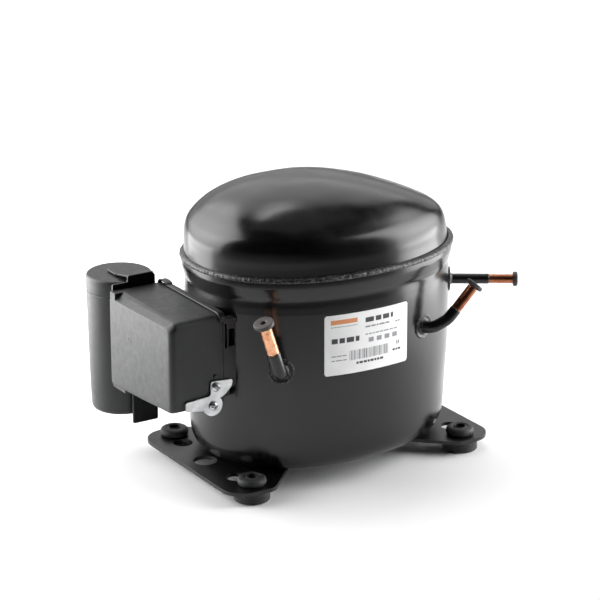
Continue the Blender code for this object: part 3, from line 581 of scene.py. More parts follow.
def build_shell():
    """Lower cup and dome, from (half axis x, half axis y, z) rings; the dome's rings add power and shift."""
    out = smooth_curve([(72.0, 49.0, 10.4), (77.0, 54.0, 11.2), (82.4, 59.4, 13.6), (86.5, 63.5, 17.4),
                        (88.9, 65.9, 23.0), (89.9, 66.9, 30.0), (90.6, 67.6, 42.0), (91.4, 68.4, 58.0),
                        (92.2, 69.2, 74.0), (92.5, 69.5, 90.0), (92.5, 69.5, 119.5), (92.4, 69.4, 123.5)], 5)
    neck = smooth_curve([(92.4, 69.4, 123.5), (92.2, 69.2, 126.8), (91.95, 68.95, 129.4),
                         (91.85, 68.85, 131.2), (92.15, 69.05, 132.5), (92.8, 69.6, 134.2),
                         (93.4, 70.15, 136.4), (93.95, 70.65, 138.6), (94.4, 71.0, 140.6),
                         (94.4, 71.0, 142.6), (94.2, 70.8, 145.2)], 5)
    outer = [oval(40.0, 24.0, 10.4)] + [oval(*p) for p in out + neck[1:]]
    inner = [oval(*p) for p in ((91.2, 68.2, 145.2), (88.0, 65.0, 139.5), (89.4, 66.4, 127.0),
                                (89.4, 66.4, 84.0), (87.4, 64.4, 36.0), (84.0, 61.0, 20.5),
                                (77.5, 54.5, 15.0), (69.5, 46.5, 13.4))]
    bottom = [[Vector((0, 0, 10.4))]]
    floor = [[Vector((0, 0, 13.4))]]
    bm = loft(bottom + outer + inner + floor)
    finish_piece("shell_lower", bm, PAINT, "shell", ["lower_shell"], 60.0)

    dome = [(92.1, 69.1, 145.5, 2.15, -0.6, 0.0), (91.3, 68.5, 152.5, 2.16, -1.2, 0.0),
            (90.6, 68.0, 158.5, 2.19, -1.7, 0.0), (88.6, 66.5, 164.6, 2.26, -2.6, 0.1),
            (85.0, 64.0, 169.3, 2.34, -4.0, 0.3), (79.3, 60.4, 173.1, 2.44, -6.1, 0.5),
            (71.9, 55.7, 177.4, 2.52, -8.6, 0.7), (62.7, 49.8, 181.9, 2.57, -11.4, 1.0),
            (50.7, 41.7, 186.6, 2.60, -14.5, 1.2), (36.9, 31.9, 190.8, 2.60, -17.2, 1.5),
            (20.0, 18.5, 194.2, 2.60, -19.4, 1.7), (9.0, 8.5, 195.15, 2.60, -20.0, 1.8)]
    wall, drop = 3.0, 2.2
    top_x, top_y, top_z = -20.2, 1.8, 195.4
    outer = [oval(*p) for p in smooth_curve(dome, 6)] + [[Vector((top_x, top_y, top_z))]]
    under = [(a - wall, b - wall, z - (drop if i else 0.0), power, sx, sy)
             for i, (a, b, z, power, sx, sy) in enumerate(dome[:10])]
    inner = [[Vector((top_x, top_y, top_z - wall))]] + [oval(*p) for p in reversed(under)]
    bm = cup(outer, inner)
    finish_piece("shell_upper", bm, PAINT, "shell", ["upper_shell"], 60.0)


def build_seam():
    """Weld bead: a ripple along it, uneven lumps and a wandering height."""
    sides = 1100
    length = 523.0
    most = 0.55
    section = [(0.5, -1.5), (1.1, -1.35), (1.5, -0.95), (1.65, -0.3), (1.6, 0.35), (1.25, 1.0), (0.6, 1.5),
               (-0.4, 1.85), (-1.6, 2.0), (-2.4, 1.2), (-2.4, -0.2), (0.2, -0.6)]
    weights = [0.1, 0.35, 0.8, 1.0, 1.0, 1.0, 0.8, 0.45, 0.1, 0.0, 0.0, 0.0]
    rings = []
    for i in range(sides):
        spot = plan_point(2 * math.pi * i / sides, 93.5, 70.6, 145.9)
        out = plan_normal(spot, 95.0, 71.8)
        along = i * length / sides
        ripple = 0.12 * abs(math.sin(along * 1.3)) + 0.06 * math.sin(along * 0.47)
        broad, middling, close = (noise.noise(spot * scale) for scale in (0.16, 0.55, 1.3))
        lump = 0.34 * (0.5 * broad + middling + 0.6 * close)
        lift = 0.30 * noise.noise(spot * 0.09 + Vector((9, 0, 0)))
        ring = []
        for (reach, height), weight in zip(section, weights):
            fine = 0.22 * noise.noise(Vector((spot.x, spot.y, height * 3.0)) * 1.1)
            push = min(max((ripple + lump + fine) * weight, -most), most)
            ring.append(spot + out * (reach + push) + Vector((0, 0, height + lift * weight)))
        rings.append(ring)
    bm = loft(rings, close=True)
    finish_piece("weld_seam", bm, PAINT_SEAM, "shell", ["weld_bead"], 50.0)


# ---------------- base


def build_plates():
    """Pressed feet with two hole patterns, one middle hole and a slot."""
    fixing_holes = ((82.55, 50.8, 7.0), (85.0, 35.0, 6.6))  # x, y, radius
    corners = [(103.0, -63.5), (72.5, -63.5), (46.0, -37.0), (46.0, 37.0), (72.5, 63.5), (103.0, 63.5)]
    holes = []
    for y in (-1, 1):
        for hole_x, hole_y, radius in fixing_holes:
            holes.append(arc(-hole_x, y * hole_y, radius, 0, 360, 40)[:-1])
    holes.append(arc(-88.0, 0.0, 8.0, 0, 360, 44)[:-1])
    holes.append(rectangle((-73.5, -15.0), (-63.0, 13.0), 4.5, 8))
    outline = rounded([(-x, y) for x, y in corners], [16, 8, 1, 1, 8, 16], 12)
    for side, name in ((-1, "left"), (1, "right")):
        loops = [[(-side * x, y) for x, y in loop] for loop in [outline] + holes]
        bm = prism(loops[0], (7.5, 10.0), holes=loops[1:])
        node = "base_plate_" + name
        finish_piece("plate_" + name, bm, PAINT_PLATE, "shell", [node], 30.0, (0.55, 3, 50.0))


def build_grommets():
    """Rubber feet with a waist, a rolled top lip and two moulding pips each."""
    profile = [(3.75, 0.0), (11.4, 0.0), (12.0, 0.7), (11.85, 3.4), (12.0, 6.3), (11.3, 7.2), (6.75, 7.25),
               (6.75, 10.25), (8.6, 10.3), (9.5, 11.6), (9.7, 13.0), (9.1, 14.7), (7.6, 15.7), (5.6, 15.9),
               (5.2, 15.35), (4.5, 15.3), (4.2, 15.85), (3.75, 15.9)]
    radii = [0, 0.5, 0.5, 0.8, 0.5, 0.6, 0.3, 0.3, 0.9, 1.0, 1.0, 1.2, 0.9, 0.3, 0.3, 0.3, 0.3, 0]
    curve = soft_profile(profile, radii, 3)
    for tag in ("front_left", "front_right", "back_left", "back_right"):
        mid = centre_of("grommet_" + tag)
        bm = turned(curve, (mid.x, mid.y, 0), sides=72, close=True)
        for vert in bm.verts:
            flat = Vector((vert.co.x - mid.x, vert.co.y - mid.y, 0))
            if 0.5 < vert.co.z < 15.5 and flat.length > 8:
                wobble = noise.noise(Vector((vert.co.x, vert.co.y, vert.co.z)) * 0.35) * 0.12
                vert.co += flat.normalized() * wobble
        for turn in (250, 285):
            t = math.radians(turn)
            out = Vector((math.cos(t), math.sin(t), 0))
            spot = Vector((mid.x, mid.y, 12.9)) + out * 9.25
            turned([(0, -0.3), (0.75, -0.3), (0.75, 0.45), (0.4, 0.6), (0, 0.6)], spot, out, 16, bm=bm)
        finish_piece("foot_" + tag, bm, RUBBER, "shell", ["grommet_" + tag], 40.0)


# ---------------- tubes

TUBES = {
    "process": {
        "base": Vector((-62.0, -54.0, 85.0)),
        "bends": [("n", 10.0)],
        "tip": Vector((-81.4, -65.8, 122.6)),
        "radius": 4.1, "bore": 3.1, "copper": 20.5, "bend": 8.0, "collar": 8.7, "lean": False,
    },
    "discharge": {
        "base": Vector((42.0, -63.0, 98.8)),
        "bends": [("n", 7.5), Vector((55.0, -73.2, 104.4))],
        "tip": Vector((72.2, -76.0, 124.0)),
        "radius": 3.5, "bore": 2.7, "copper": 18.0, "bend": 13.0, "collar": 8.4, "lean": False,
    },
    "suction": {
        "base": Vector((83.6, -32.5, 115.8)),
        "bends": [],
        "tip": Vector((120.6, -54.6, 115.3)),
        "radius": 3.1, "bore": 2.4, "copper": 16.0, "bend": 8.0, "collar": 8.4, "lean": True,
    },
}


def build_tubes():
    """Each tube is a bare copper end, a painted leg and a brazed collar."""
    for name, tube in TUBES.items():
        base, tip = tube["base"], tube["tip"]
        normal = plan_normal(base)
        if tube["lean"]:
            normal = (tip - base).normalized()
        points = [base - normal * 8.0]
        for bend in tube["bends"]:
            points.append(base + normal * bend[1] if isinstance(bend, tuple) else bend)
        points.append(tip)
        path = soft_path(points, tube["bend"], 12) if len(points) > 2 else points
        if len(points) == 2:
            path = [points[0].lerp(points[1], k / 8) for k in range(9)]
        painted, bare = split_path(path, tube["copper"])
        over = [bare[0] - (bare[1] - bare[0]).normalized() * 0.6] + bare
        radius = tube["radius"]
        node = name + "_tube"
        bm = swept(over, radius, 48, tube["bore"])
        # the discharge and suction ends take the darker copper, which is painted shade
        copper = COPPER if name == "process" else COPPER_PAINTED_SHADE
        finish_piece(name + "_copper_end", bm, copper, "shell", [node], 40.0)

        coat = [radius + 0.42] * len(painted)
        end = (painted[-1] - painted[-2]).normalized()
        painted = painted[:-1] + [painted[-1] - end * 0.9, painted[-1] - end * 0.3, painted[-1]]
        coat = coat[:-1] + [radius + 0.42, radius + 0.30, radius + 0.06]
        bm = swept(painted, coat, 48, tube["bore"] - 0.05)
        for vert in bm.verts:
            if (vert.co - painted[-1]).length < radius + 1.2:
                vert.co += end * 0.5 * noise.noise(vert.co * 0.6)
        finish_piece(name + "_painted_leg", bm, PAINT_TUBE, "shell", (), 50.0)

        size = tube["collar"]
        foot = plan_normal(base) if not tube["lean"] else normal
        flange = [(radius + 0.1, -2.5), (size - 0.4, -2.5), (size, -1.2), (size, 0.6), (size - 0.9, 1.05)]
        fillet = [(size - 1.7, 0.6), (size - 2.6, 0.45), (radius + 1.6, 0.7), (radius + 0.9, 1.5),
                  (radius + 0.3, 2.6)]
        profile = soft_profile(flange + fillet, 0.7, 4)
        bm = turned(profile, base, foot, 72, close=True)
        for vert in bm.verts:
            vert.co += foot * 0.22 * noise.noise(vert.co * 0.5)
        finish_piece(name + "_braze_collar", bm, PAINT_SEAM, "shell", (), 50.0)


def build_plugs():
    """Rubber plugs pushed into the tube ends."""
    for name, tube in TUBES.items():
        tip = tube["tip"]
        points = [p for p in tube["bends"] if isinstance(p, Vector)]
        start = points[-1] if points else tube["base"]
        if name == "process":
            start = tube["base"] + plan_normal(tube["base"]) * 10.0
        axis = (tip - start).normalized()
        rim = {"process": 6.7, "discharge": 6.0, "suction": 5.0}[name]
        bore = tube["bore"]
        profile = soft_profile([(0, -6.0), (bore - 0.7, -6.0), (bore - 0.3, -5.0), (bore - 0.3, 0.3),
                                (rim - 0.9, 0.32), (rim, 0.7), (rim, 2.9), (rim - 0.6, 3.4), (2.6, 3.35),
                                (1.7, 2.9), (1.7, 1.4), (0, 1.4)], 0.55, 4)
        bm = turned(profile, tip, axis, 56)
        finish_piece(name + "_cap", bm, PLUG, name + "_plug", [name + "_plug"], 40.0)


# ---------------- terminal box


def box_ring(inset, near=0.0, far_drop=0.0, near_drop=0.0, foot=0.0, steps=8):
    """Outline of the box across X, each side drawn in by its own amount."""
    y0, y1 = -33.0 + inset + near, 48.0 - inset
    z0, z1 = 62.0 + inset + foot, 122.6 - inset
    radii = [max(r - inset, 0.6) for r in (3.0, 2.2, 1.6, 5.0)]
    return rounded([(y0, z0), (y1, z0 - 5.0), (y1, z1 - far_drop), (y0, z1 - near_drop)], radii, steps)


def across(points, x):
    """Lays a (y, z) outline across the X axis."""
    return [Vector((x, p[0], p[1])) for p in points]


def build_cover():
    """Terminal cover: the front's far, near and bottom edges are bevelled or rounded by depth."""
    face = -131.0
    outer = [across(box_ring(0.0), x) for x in (-92.9, -93.3, -100.0, -112.0, -123.2)]
    for x in (-123.9, -124.6, -126.0, -126.7, -127.4, -128.2, -129.0, -129.7, -130.3, -130.7, -130.92, face):
        far = 4.9 * max(0.0, (-123.9 - x) / 7.1)
        near = 3.4 * max(0.0, (-126.4 - x) / 4.6)
        turn = max(0.0, (-127.0 - x) / 4.0)
        side = 4.0 * (1 - math.sqrt(max(0.0, 1 - turn**2)))
        sole = 1.4 * (1 - math.sqrt(max(0.0, 1 - max(0.0, (-129.6 - x) / 1.4) ** 2)))
        outer.append(across(box_ring(0.0, side, far, near, sole), x))
    outer.append(across(box_ring(3.0, 4.0, 4.9, 3.4, 1.4), face))
    outer.append([Vector((face, 7.5, 88.0))])
    skirt = 0.5
    inner = [[Vector((face + 2.4, 7.5, 88.0))], across(box_ring(2.4, 2.0, 4.9, 3.4), face + 2.4)]
    inner += [across(box_ring(2.2), -124.0), across(box_ring(2.2), -96.0), across(box_ring(skirt), -95.9)]
    inner.append(across(box_ring(skirt), -92.9))
    bm = cup(outer, inner)
    finish_piece("cover_shell", bm, PLASTIC, "terminal_cover", ["terminal_cover"], 24.0,
                 (0.45, 3, 24.0))
    ear = prism(rectangle((40.8, 112.0), (47.9, 122.5), 0.7, 4), (-130.9, -123.0), "X")
    finish_piece("cover_ear", ear, PLASTIC, "terminal_cover", (), 30.0, (0.45, 3))
    pip = turned(soft_profile([(0, -0.4), (1.6, -0.4), (1.6, 0.6), (1.0, 1.1), (0, 1.1)], 0.4, 3),
                 (-98.8, -33.0, 82.0), (0, -1, 0), 28)
    finish_piece("cover_pip", pip, PLASTIC, "terminal_cover", (), 30.0)
    ring = turned(soft_profile([(1.7, -0.3), (2.3, -0.3), (2.3, 0.1), (2.05, 0.16), (1.7, 0.1)], 0.1, 2),
                  (face, 21.5, 96.6), (-1, 0, 0), 36, True)
    finish_piece("cover_gate_ring", ring, PLASTIC, "terminal_cover", (), 30.0)
    lip = prism(rectangle((30.0, 56.2), (47.0, 58.2), 0.5, 3), (-130.6, -128.4), "X")
    finish_piece("cover_sole_lip", lip, PLASTIC, "terminal_cover", (), 30.0, (0.3, 2))


def build_fence():
    """Moulded frame between the cover and the shell, hollowed to the wall's curve."""
    def wall_x(y, offset=0.45):
        part = min(abs(y) / (WALL_B + offset), 0.999)
        return -(WALL_A + offset) * (1 - part**POWER) ** (1 / POWER)

    def tunnel(lo, hi, radius, x=None):
        return [Vector((wall_x(p[0]) if x is None else x, p[0], p[1])) for p in rectangle(lo, hi, radius, 8)]

    lo, hi, thick = (-29.6, 64.4), (33.0, 115.6), 2.6
    lo_in, hi_in = (lo[0] + thick, lo[1] + thick), (hi[0] - thick, hi[1] - thick)
    rings = [across(box_ring(0.8), -95.6), across(box_ring(0.8), -91.4)]
    rings += [tunnel(lo, hi, 3.0, -91.4), tunnel(lo, hi, 3.0)]
    rings += [tunnel(lo_in, hi_in, 1.0), tunnel(lo_in, hi_in, 1.0, -93.2)]
    rings += [across(box_ring(3.4), -93.2), across(box_ring(3.4), -95.6)]
    bm = loft(rings, close=True)
    finish_piece("fence_frame", bm, PLASTIC, "shell", ["terminal_fence"], 34.0,
                 (0.25, 2, 60.0))

    # rail over the cover's rear edge, bent down at its near end
    track = [(36.0, 122.6), (20.0, 122.6), (4.0, 122.6), (-12.0, 122.6)]
    track += arc(-28.0, 117.6, 5.0, 90, 172, 8)
    section = [(-92.55, -2.4), (-92.55, 0.3), (-94.7, 0.3), (-95.15, 0.45), (-95.25, 0.85), (-94.9, 1.2),
               (-93.6, 1.3), (-92.0, 1.05), (-90.4, 0.95), (-90.4, -2.4)]
    rings = []
    for i, (y, z) in enumerate(track):
        out = (Vector((y, z)) - Vector((-28.0, 117.6))).normalized() if i > 3 else Vector((0.0, 1.0))
        rings.append([Vector((x, y + out.x * h, z + out.y * h)) for x, h in section])
    bm = loft(rings)
    finish_piece("fence_rail", bm, PLASTIC, "shell", (), 34.0)

    # looped tab at the far end of the rail
    rings = []
    for k in range(21):
        t = math.pi * k / 20
        dy = math.copysign(abs(math.cos(t)) ** 0.8, math.cos(t))
        dz = abs(math.sin(t)) ** 0.8
        y, z = 41.4 + 6.4 * dy, 122.4 + 3.1 * dz
        rings.append([Vector((x, y - dy * d, z - dz * d))
                      for x, d in ((-95.2, 0.0), (-90.4, 0.0), (-90.4, 1.1), (-95.2, 1.1))])
    bm = loft(rings)
    finish_piece("fence_loop", bm, PLASTIC, "shell", (), 34.0, (0.3, 2, 60.0))

    # near side panel with its slot and pocket
    panel = rounded([(-92.55, 69.0), (-83.3, 74.0), (-83.0, 115.4), (-84.6, 119.0), (-92.55, 119.6)],
                    [1.0, 1.0, 1.6, 1.6, 0.6], 5)
    slot = rectangle((-91.3, 99.6), (-89.7, 116.4), 0.5, 3)
    pocket = rectangle((-88.6, 100.7), (-84.0, 112.4), 0.5, 3)
    bm = prism(panel, (-33.05, -31.0), "Y", [slot, pocket])
    finish_piece("fence_panel", bm, PLASTIC, "shell", (), 30.0, (0.25, 2, 50.0))
    cap = prism(rectangle((-92.5, 116.4), (-83.2, 120.2), 0.8, 4), (-34.0, -28.6), "Y")
    finish_piece("fence_cap", cap, PLASTIC, "shell", (), 30.0, (0.6, 3, 50.0))


def build_relay():
    """Start relay and overload protector under the cover."""
    lo, hi = span("start_relay")
    bm = prism(rectangle((lo.y, lo.z), (hi.y, hi.z), 2.0, 5), (lo.x + 2.0, hi.x), "X")
    prism(rectangle((lo.y + 5, lo.z + 5), (hi.y - 5, hi.z - 9), 2.0, 5), (lo.x, lo.x + 2.4), "X", bm=bm)
    for k in range(3):
        z = lo.z + 8 + k * 7
        prism(rectangle((lo.y + 8, z), (hi.y - 8, z + 3.0), 0.6, 3), (lo.x - 1.2, lo.x + 0.4), "X", bm=bm)
    finish_piece("relay_case", bm, RELAY, "shell", ["start_relay"], 30.0, (0.5, 3, 50.0))
    mid = centre_of("overload_protector")
    lo, hi = span("overload_protector")
    profile = soft_profile([(0, lo.x), (7.0, lo.x), (7.4, lo.x + 1.0), (8.9, lo.x + 1.4), (8.9, hi.x - 6.0),
                            (6.0, hi.x - 5.6), (6.0, hi.x), (0, hi.x)], 0.6, 4)
    bm = turned(profile, (0, mid.y, mid.z), (1, 0, 0), 56)
    finish_piece("protector_can", bm, RELAY, "shell", ["overload_protector"], 34.0)


def build_clamp():
    """Zinc cord clamp and its two cross-recessed screws."""
    back = -33.3
    strap = [(-121.0, 68.7), (-121.6, 68.1), (-121.6, 63.2), (-121.0, 62.6), (-107.9, 60.7)]
    strap += arc(-101.4, 63.0, 6.9, 200, 400, 40)
    strap += [(-94.2, 68.2), (-92.2, 69.4), (-88.9, 72.6), (-87.3, 74.6), (-86.9, 77.6), (-87.5, 78.6),
              (-101.9, 79.6), (-102.7, 79.0), (-103.2, 70.9), (-104.4, 69.9)]
    bores = [arc(-101.4, 63.0, 1.9, 0, 360, 24)[:-1], arc(-99.2, 75.6, 1.9, 0, 360, 24)[:-1]]
    bm = prism(strap, (back - 1.4, back), "Y", bores)
    finish_piece("clamp_strap", bm, ZINC, "shell", ["cord_clamp"], 30.0, (0.3, 3, 50.0))
    sides = 48
    screw = ((0, -3.55), (0.9, -3.5), (1.8, -3.3), (2.6, -2.85), (3.05, -2.2), (3.05, -1.8),
             (2.8, -1.65), (1.6, -1.65), (1.6, 0.05), (0, 0.05))  # radius, y
    for tag in ("lower", "upper"):
        mid = centre_of("clamp_screw_" + tag)
        x, z = mid.x, mid.z
        rings = []
        for r, y in screw:
            if r == 0:
                rings.append([Vector((x, back + y, z))])
                continue
            ring = []
            for k in range(sides):
                t = 2 * math.pi * k / sides
                dx, dz = math.cos(t), math.sin(t)
                cross = min(abs(dx), abs(dz)) * r
                sink = 1.0 if cross < 0.42 and r < 2.2 and y < -2.0 else 0.0
                ring.append(Vector((x + dx * r, back + y + sink, z + dz * r)))
            rings.append(ring)
        rings[0][0].y += 1.0
        bm = loft(rings)
        finish_piece("clamp_fastener_" + tag, bm, ZINC, "shell", ["clamp_screw_" + tag], 25.0)


def build_capacitor():
    """Capacitor holder, its bracket and the clip folded over its top."""
    lo, hi = span("capacitor_holder")
    cx, cy = (lo.x + hi.x) / 2, (lo.y + hi.y) / 2
    low, high = lo.z, hi.z
    profile = [(0, low), (17.0, low), (19.4, low + 0.8), (20.3, low + 2.6), (20.9, low + 14), (21.6, 78.0),
               (22.1, high - 14.0), (22.2, high - 11.9), (21.75, high - 11.5), (21.75, high - 11.0),
               (22.2, high - 10.6), (22.2, high - 1.6), (21.6, high - 0.5), (20.6, high - 0.05), (0, high)]
    curve = soft_profile(profile, [0, 1, 1, 1, 3, 8, 1, 0.2, 0.15, 0.15, 0.2, 0.7, 0.5, 0.5, 0], 4)
    bm = turned(curve, (cx, cy, 0), sides=96)
    finish_piece("holder_can", bm, PLASTIC_CAP, "shell", ["capacitor_holder"], 34.0)
    lo_b, hi_b = span("capacitor_bracket")
    plate = prism(rectangle((lo_b.x, lo_b.z), (hi_b.x, hi_b.z), 1.0, 4), (lo_b.y, hi_b.y), "Y")
    rib = rectangle((hi_b.x - 2.0, lo_b.z + 3.0), (hi_b.x, hi_b.z), 0.5, 3)
    prism(rib, (lo_b.y + 1.0, lo_b.y + 7.0), "Y", bm=plate)
    finish_piece("holder_bracket", plate, PLASTIC_CAP, "shell", ["capacitor_bracket"], 30.0,
                 (0.4, 3, 50.0))
    back = 48.3
    left, right, top = cx - 7.0, cx + 13.5, high + 0.3
    wall = rounded(
        [(left, 100.0), (right, 100.0), (right, top + 5.0), (left, top + 5.0), (left, top + 0.7),
         (cx - 18.4, top + 0.7), (cx - 18.4, 112.0), (left, 112.0)],
        [1, 1, 3.4, 1.4, 1.0, 1.2, 1, 0.6], 8)
    clip = prism(wall, (back, back + 1.7), "Y")
    finish_piece("clip_wall", clip, PLASTIC_CAP, "shell", ["capacitor_clip"], 30.0,
                 (0.3, 3, 50.0))
    ramp = [(back + 0.4, top + 3.6), (back + 1.0, top + 4.98), (66.0, top + 1.9), (66.0, top + 0.2)]
    flap = prism(ramp, (left + 0.3, right - 1.0), "X")
    finish_piece("clip_ramp", flap, PLASTIC_CAP, "shell", (), 30.0, (0.4, 3, 40.0))
    arrow = rounded([(left - 0.2, 64.8), (right - 1.0, 64.8), (right - 2.6, 74.0), (cx + 5.0, 86.0),
                     (cx - 6.8, 78.2)], [1.2, 1.5, 4, 2.4, 2.4], 6)
    head = prism(arrow, (top, top + 1.75))
    finish_piece("clip_arrow", head, PLASTIC_CAP, "shell", (), 30.0, (0.5, 3, 50.0))


# ---------------- label


def wall_sheet(bm, x0, x1, edges, offsets, columns, index=0):
    """Thin slab on the front wall; edges(x) gives its lower and upper edge."""
    rows = []
    for offset in offsets:
        line = []
        for i in range(columns + 1):
            x = x0 + (x1 - x0) * i / columns
            line.append([bm.verts.new((x, wall_y(x, offset), z)) for z in edges(x)])
        rows.append(line)
    back, front = rows
    faces = []
    for i in range(columns):
        faces.append(bm.faces.new((front[i][0], front[i + 1][0], front[i + 1][1], front[i][1])))
        faces.append(bm.faces.new((back[i][0], back[i][1], back[i + 1][1], back[i + 1][0])))
        faces.append(bm.faces.new((front[i][0], back[i][0], back[i + 1][0], front[i + 1][0])))
        faces.append(bm.faces.new((front[i][1], front[i + 1][1], back[i + 1][1], back[i][1])))
    for i in (0, columns):
        faces.append(bm.faces.new((front[i][0], front[i][1], back[i][1], back[i][0])))
    for face in faces:
        face.material_index = index


def build_label():
    """Pale film with print that is only bars, dashes and stripes."""
    lo, hi = span("rating_label")
    x0, x1, z0, z1 = lo.x, hi.x, lo.z, hi.z
    corner = 1.4

    def film_edges(x):
        edge = min(x - x0, x1 - x)
        if edge > corner:
            return z0, z1
        cut = corner - math.sqrt(max(corner**2 - (corner - edge) ** 2, 0.0))
        return z0 + cut, z1 - cut

    bm = bmesh.new()
    wall_sheet(bm, x0, x1, film_edges, (0.02, 0.34), 60)
    finish_piece("label_sheet", bm, FILM, "shell", ["rating_label"], 40.0)

    ink = bmesh.new()
    rng = random.Random(11)
    dark, grey, warm = 0, 1, 2

    def patch(u, v, wide, tall, index):
        """Printed block; u and v are measured from the label's lower left corner."""
        low, high = z0 + v, z0 + v + tall
        columns = max(1, int(wide / 1.6))
        wall_sheet(ink, x0 + u, x0 + u + wide, lambda x: (low, high), (0.35, 0.38), columns, index)

    def row(u0, u1, v, tall, index, gap=0.7, words=(1.4, 4.2)):
        """A line of print, shown only as short dashes."""
        u = u0
        while u < u1 - 0.6:
            wide = min(rng.uniform(*words), u1 - u)
            patch(u, v, wide, tall, index)
            u += wide + gap

    patch(4.0, 34.6, 18.5, 3.0, warm)
    row(4.0, 22.5, 32.6, 0.5, grey, 0.5, (1.0, 2.4))
    row(28.5, 50.0, 33.2, 3.2, dark, 1.4, (4.0, 7.0))
    row(28.5, 47.0, 29.6, 1.1, grey)
    row(52.0, 56.5, 29.2, 0.9, grey, 0.5, (1.0, 2.0))
    row(4.6, 24.0, 21.6, 3.4, dark, 1.3, (3.6, 6.6))
    row(28.5, 53.5, 24.6, 0.8, grey)
    for k in range(4):
        patch(31.0 + k * 6.2, 19.4, 3.8, 3.0, grey)
    row(4.6, 15.0, 12.6, 0.7, grey)
    row(4.6, 15.0, 9.6, 0.7, grey)
    u = 17.0
    while u < 46.5:
        wide = rng.choice((0.3, 0.45, 0.6, 0.9))
        patch(u, 9.0, wide, 6.6, grey)
        u += wide + rng.choice((0.35, 0.5, 0.7))
    row(22.0, 43.0, 5.8, 1.5, dark, 0.6, (1.2, 2.6))
    row(50.0, 56.5, 9.6, 1.3, dark, 0.5, (1.2, 2.4))
    row(53.0, 55.5, 13.6, 2.6, grey, 0.5, (1.0, 1.4))
    finish_piece("label_print", ink, [INK_DARK, INK_GREY, INK_WARM], "shell", (), 40.0)


# ---------------- internals


def dress_internals():
    """Gives each carried-over CAD node the material of its longest matching name."""
    looks = {
        "spring_": SPRING, "spring_seat_": STEEL, "stator_bolt_": STEEL, "terminal_pin_": STEEL,
        "terminal_header": STEEL, "run_capacitor": ALUMINIUM, "cylinder_block": IRON,
        "stator_core": LAMINATION, "winding_": WIRE, "cylinder_head": ALUMINIUM, "valve_plate": STEEL,
        "suction_muffler": NYLON, "discharge_muffler": STEEL, "discharge_loop": COPPER,
        "crankshaft": IRON, "rotor": ALUMINIUM, "slide_block": IRON, "oil_gallery_plug": STEEL,
        "piston": IRON, "suction_reed": SPRING, "discharge_reed": SPRING,
    }
    for name, node in frame["nodes"].items():
        for start, mat in sorted(looks.items(), key=lambda item: -len(item[0])):
            if name.startswith(start):
                node.data.materials.clear()
                node.data.materials.append(mat)
                break


# ---------------- the stage


def look_at(obj, target):
    """Turns a lamp's beam to a target."""
    obj.rotation_mode = "QUATERNION"
    obj.rotation_quaternion = (Vector(target) - obj.location).to_track_quat("-Z", "Y")


def softbox(name, place, target, size, power, spread):
    """Rectangular area light."""
    light = bpy.data.lights.new(name, "AREA")
    light.shape = "RECTANGLE"
    light.size, light.size_y = size
    light.energy = power
    light.spread = math.radians(spread)
    obj = bpy.data.objects.new(name, light)
    obj.location = place
    bpy.context.scene.collection.objects.link(obj)
    look_at(obj, target)


# name, place, aimed at, size, watts, spread in degrees
LIGHTS = [
    ("soft_left", (-0.43, 0.49, 0.415), (0.016, 0.119, 0.15), (0.98, 0.86), 6.6, 104),
    ("soft_right", (0.686, -0.155, 0.371), (0.033, 0.167, 0.15), (0.87, 0.82), 5.6, 100),
    ("soft_back", (0.52, 1.045, 1.24), (0.0, 0.0, 0.17), (1.76, 1.16), 10.0, 180),
    ("soft_top", (0.15, 0.1, 2.1), (0.0, 0.0, 0.17), (1.7, 1.5), 2.4, 180),
    ("soft_low_back", (0.92, 1.97, 0.65), (0.0, 0.0, 0.17), (3.1, 0.9), 6.4, 180),
    ("soft_floor", (0.58, 1.05, 2.0), (0.58, 1.06, 0.0), (1.6, 1.2), 9.5, 66),
    ("soft_low_left", (-0.289, 0.254, 0.068), (-0.13, 0.0, 0.075), (0.32, 0.13), 0.62, 180),
    ("soft_low_right", (0.358, -0.162, 0.068), (0.08, -0.05, 0.08), (0.28, 0.13), 0.55, 180),
]
FLOOR_HALF = 6.0
WORLD_STRENGTH = 0.012
CAMERA_FROM_SHELL = Vector((-0.8818, -1.3842, 0.6717))
CAMERA_AZIMUTH, CAMERA_DOWN = math.radians(32.09), math.radians(19.01)
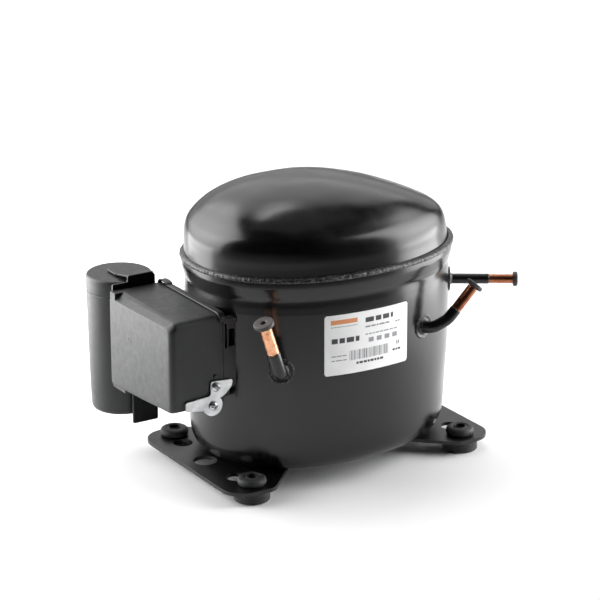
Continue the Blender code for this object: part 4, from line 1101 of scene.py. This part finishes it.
CAMERA_LENS = 156.0


def build_floor():
    """Pale floor, a hair under the feet."""
    half = FLOOR_HALF
    mesh = bpy.data.meshes.new("studio_floor")
    corners = [(-half, -half, 0), (half, -half, 0), (half, half, 0), (-half, half, 0)]
    mesh.from_pydata(corners, [], [(0, 1, 2, 3)])
    floor = bpy.data.objects.new("studio_floor", mesh)
    floor.location = (0, 0, -0.0002)
    bpy.context.scene.collection.objects.link(floor)
    m = Nodes("floor_pale", (0.84, 0.84, 0.84), 0.7)
    m.rough(m.span(m.noise(8.0, 2.0), 0.65, 0.8))
    mesh.materials.append(m.mat)


def build_light():
    """Faint even world and the soft boxes."""
    studio = bpy.data.worlds.new("studio")
    studio.use_nodes = True
    back = studio.node_tree.nodes["Background"]
    back.inputs["Color"].default_value = (1.0, 1.0, 1.0, 1.0)
    back.inputs["Strength"].default_value = WORLD_STRENGTH
    bpy.context.scene.world = studio
    for values in LIGHTS:
        softbox(*values)


def build_camera():
    """Long lens, level from side to side, looking down on the front."""
    scene = bpy.context.scene
    cam = bpy.data.cameras.new("camera")
    cam.sensor_width = 36.0
    cam.lens = CAMERA_LENS
    cam.clip_start, cam.clip_end = 0.05, 20.0
    obj = bpy.data.objects.new("camera", cam)
    sideways, onward, level = math.sin(CAMERA_AZIMUTH), math.cos(CAMERA_AZIMUTH), math.cos(CAMERA_DOWN)
    ahead = Vector((sideways * level, onward * level, -math.sin(CAMERA_DOWN)))
    right = Vector((onward, -sideways, 0))
    up = right.cross(ahead)
    obj.rotation_mode = "QUATERNION"
    obj.rotation_quaternion = Matrix((right, up, -ahead)).transposed().to_quaternion()
    obj.location = Vector((CX, CY, 0)) + CAMERA_FROM_SHELL
    scene.collection.objects.link(obj)
    scene.camera = obj
    scene.view_settings.view_transform = "Standard"


build_shell()
build_seam()
build_plates()
build_grommets()
build_tubes()
build_plugs()
build_cover()
build_fence()
build_relay()
build_clamp()
build_capacitor()
build_label()
dress_internals()
build_floor()
build_light()
build_camera()
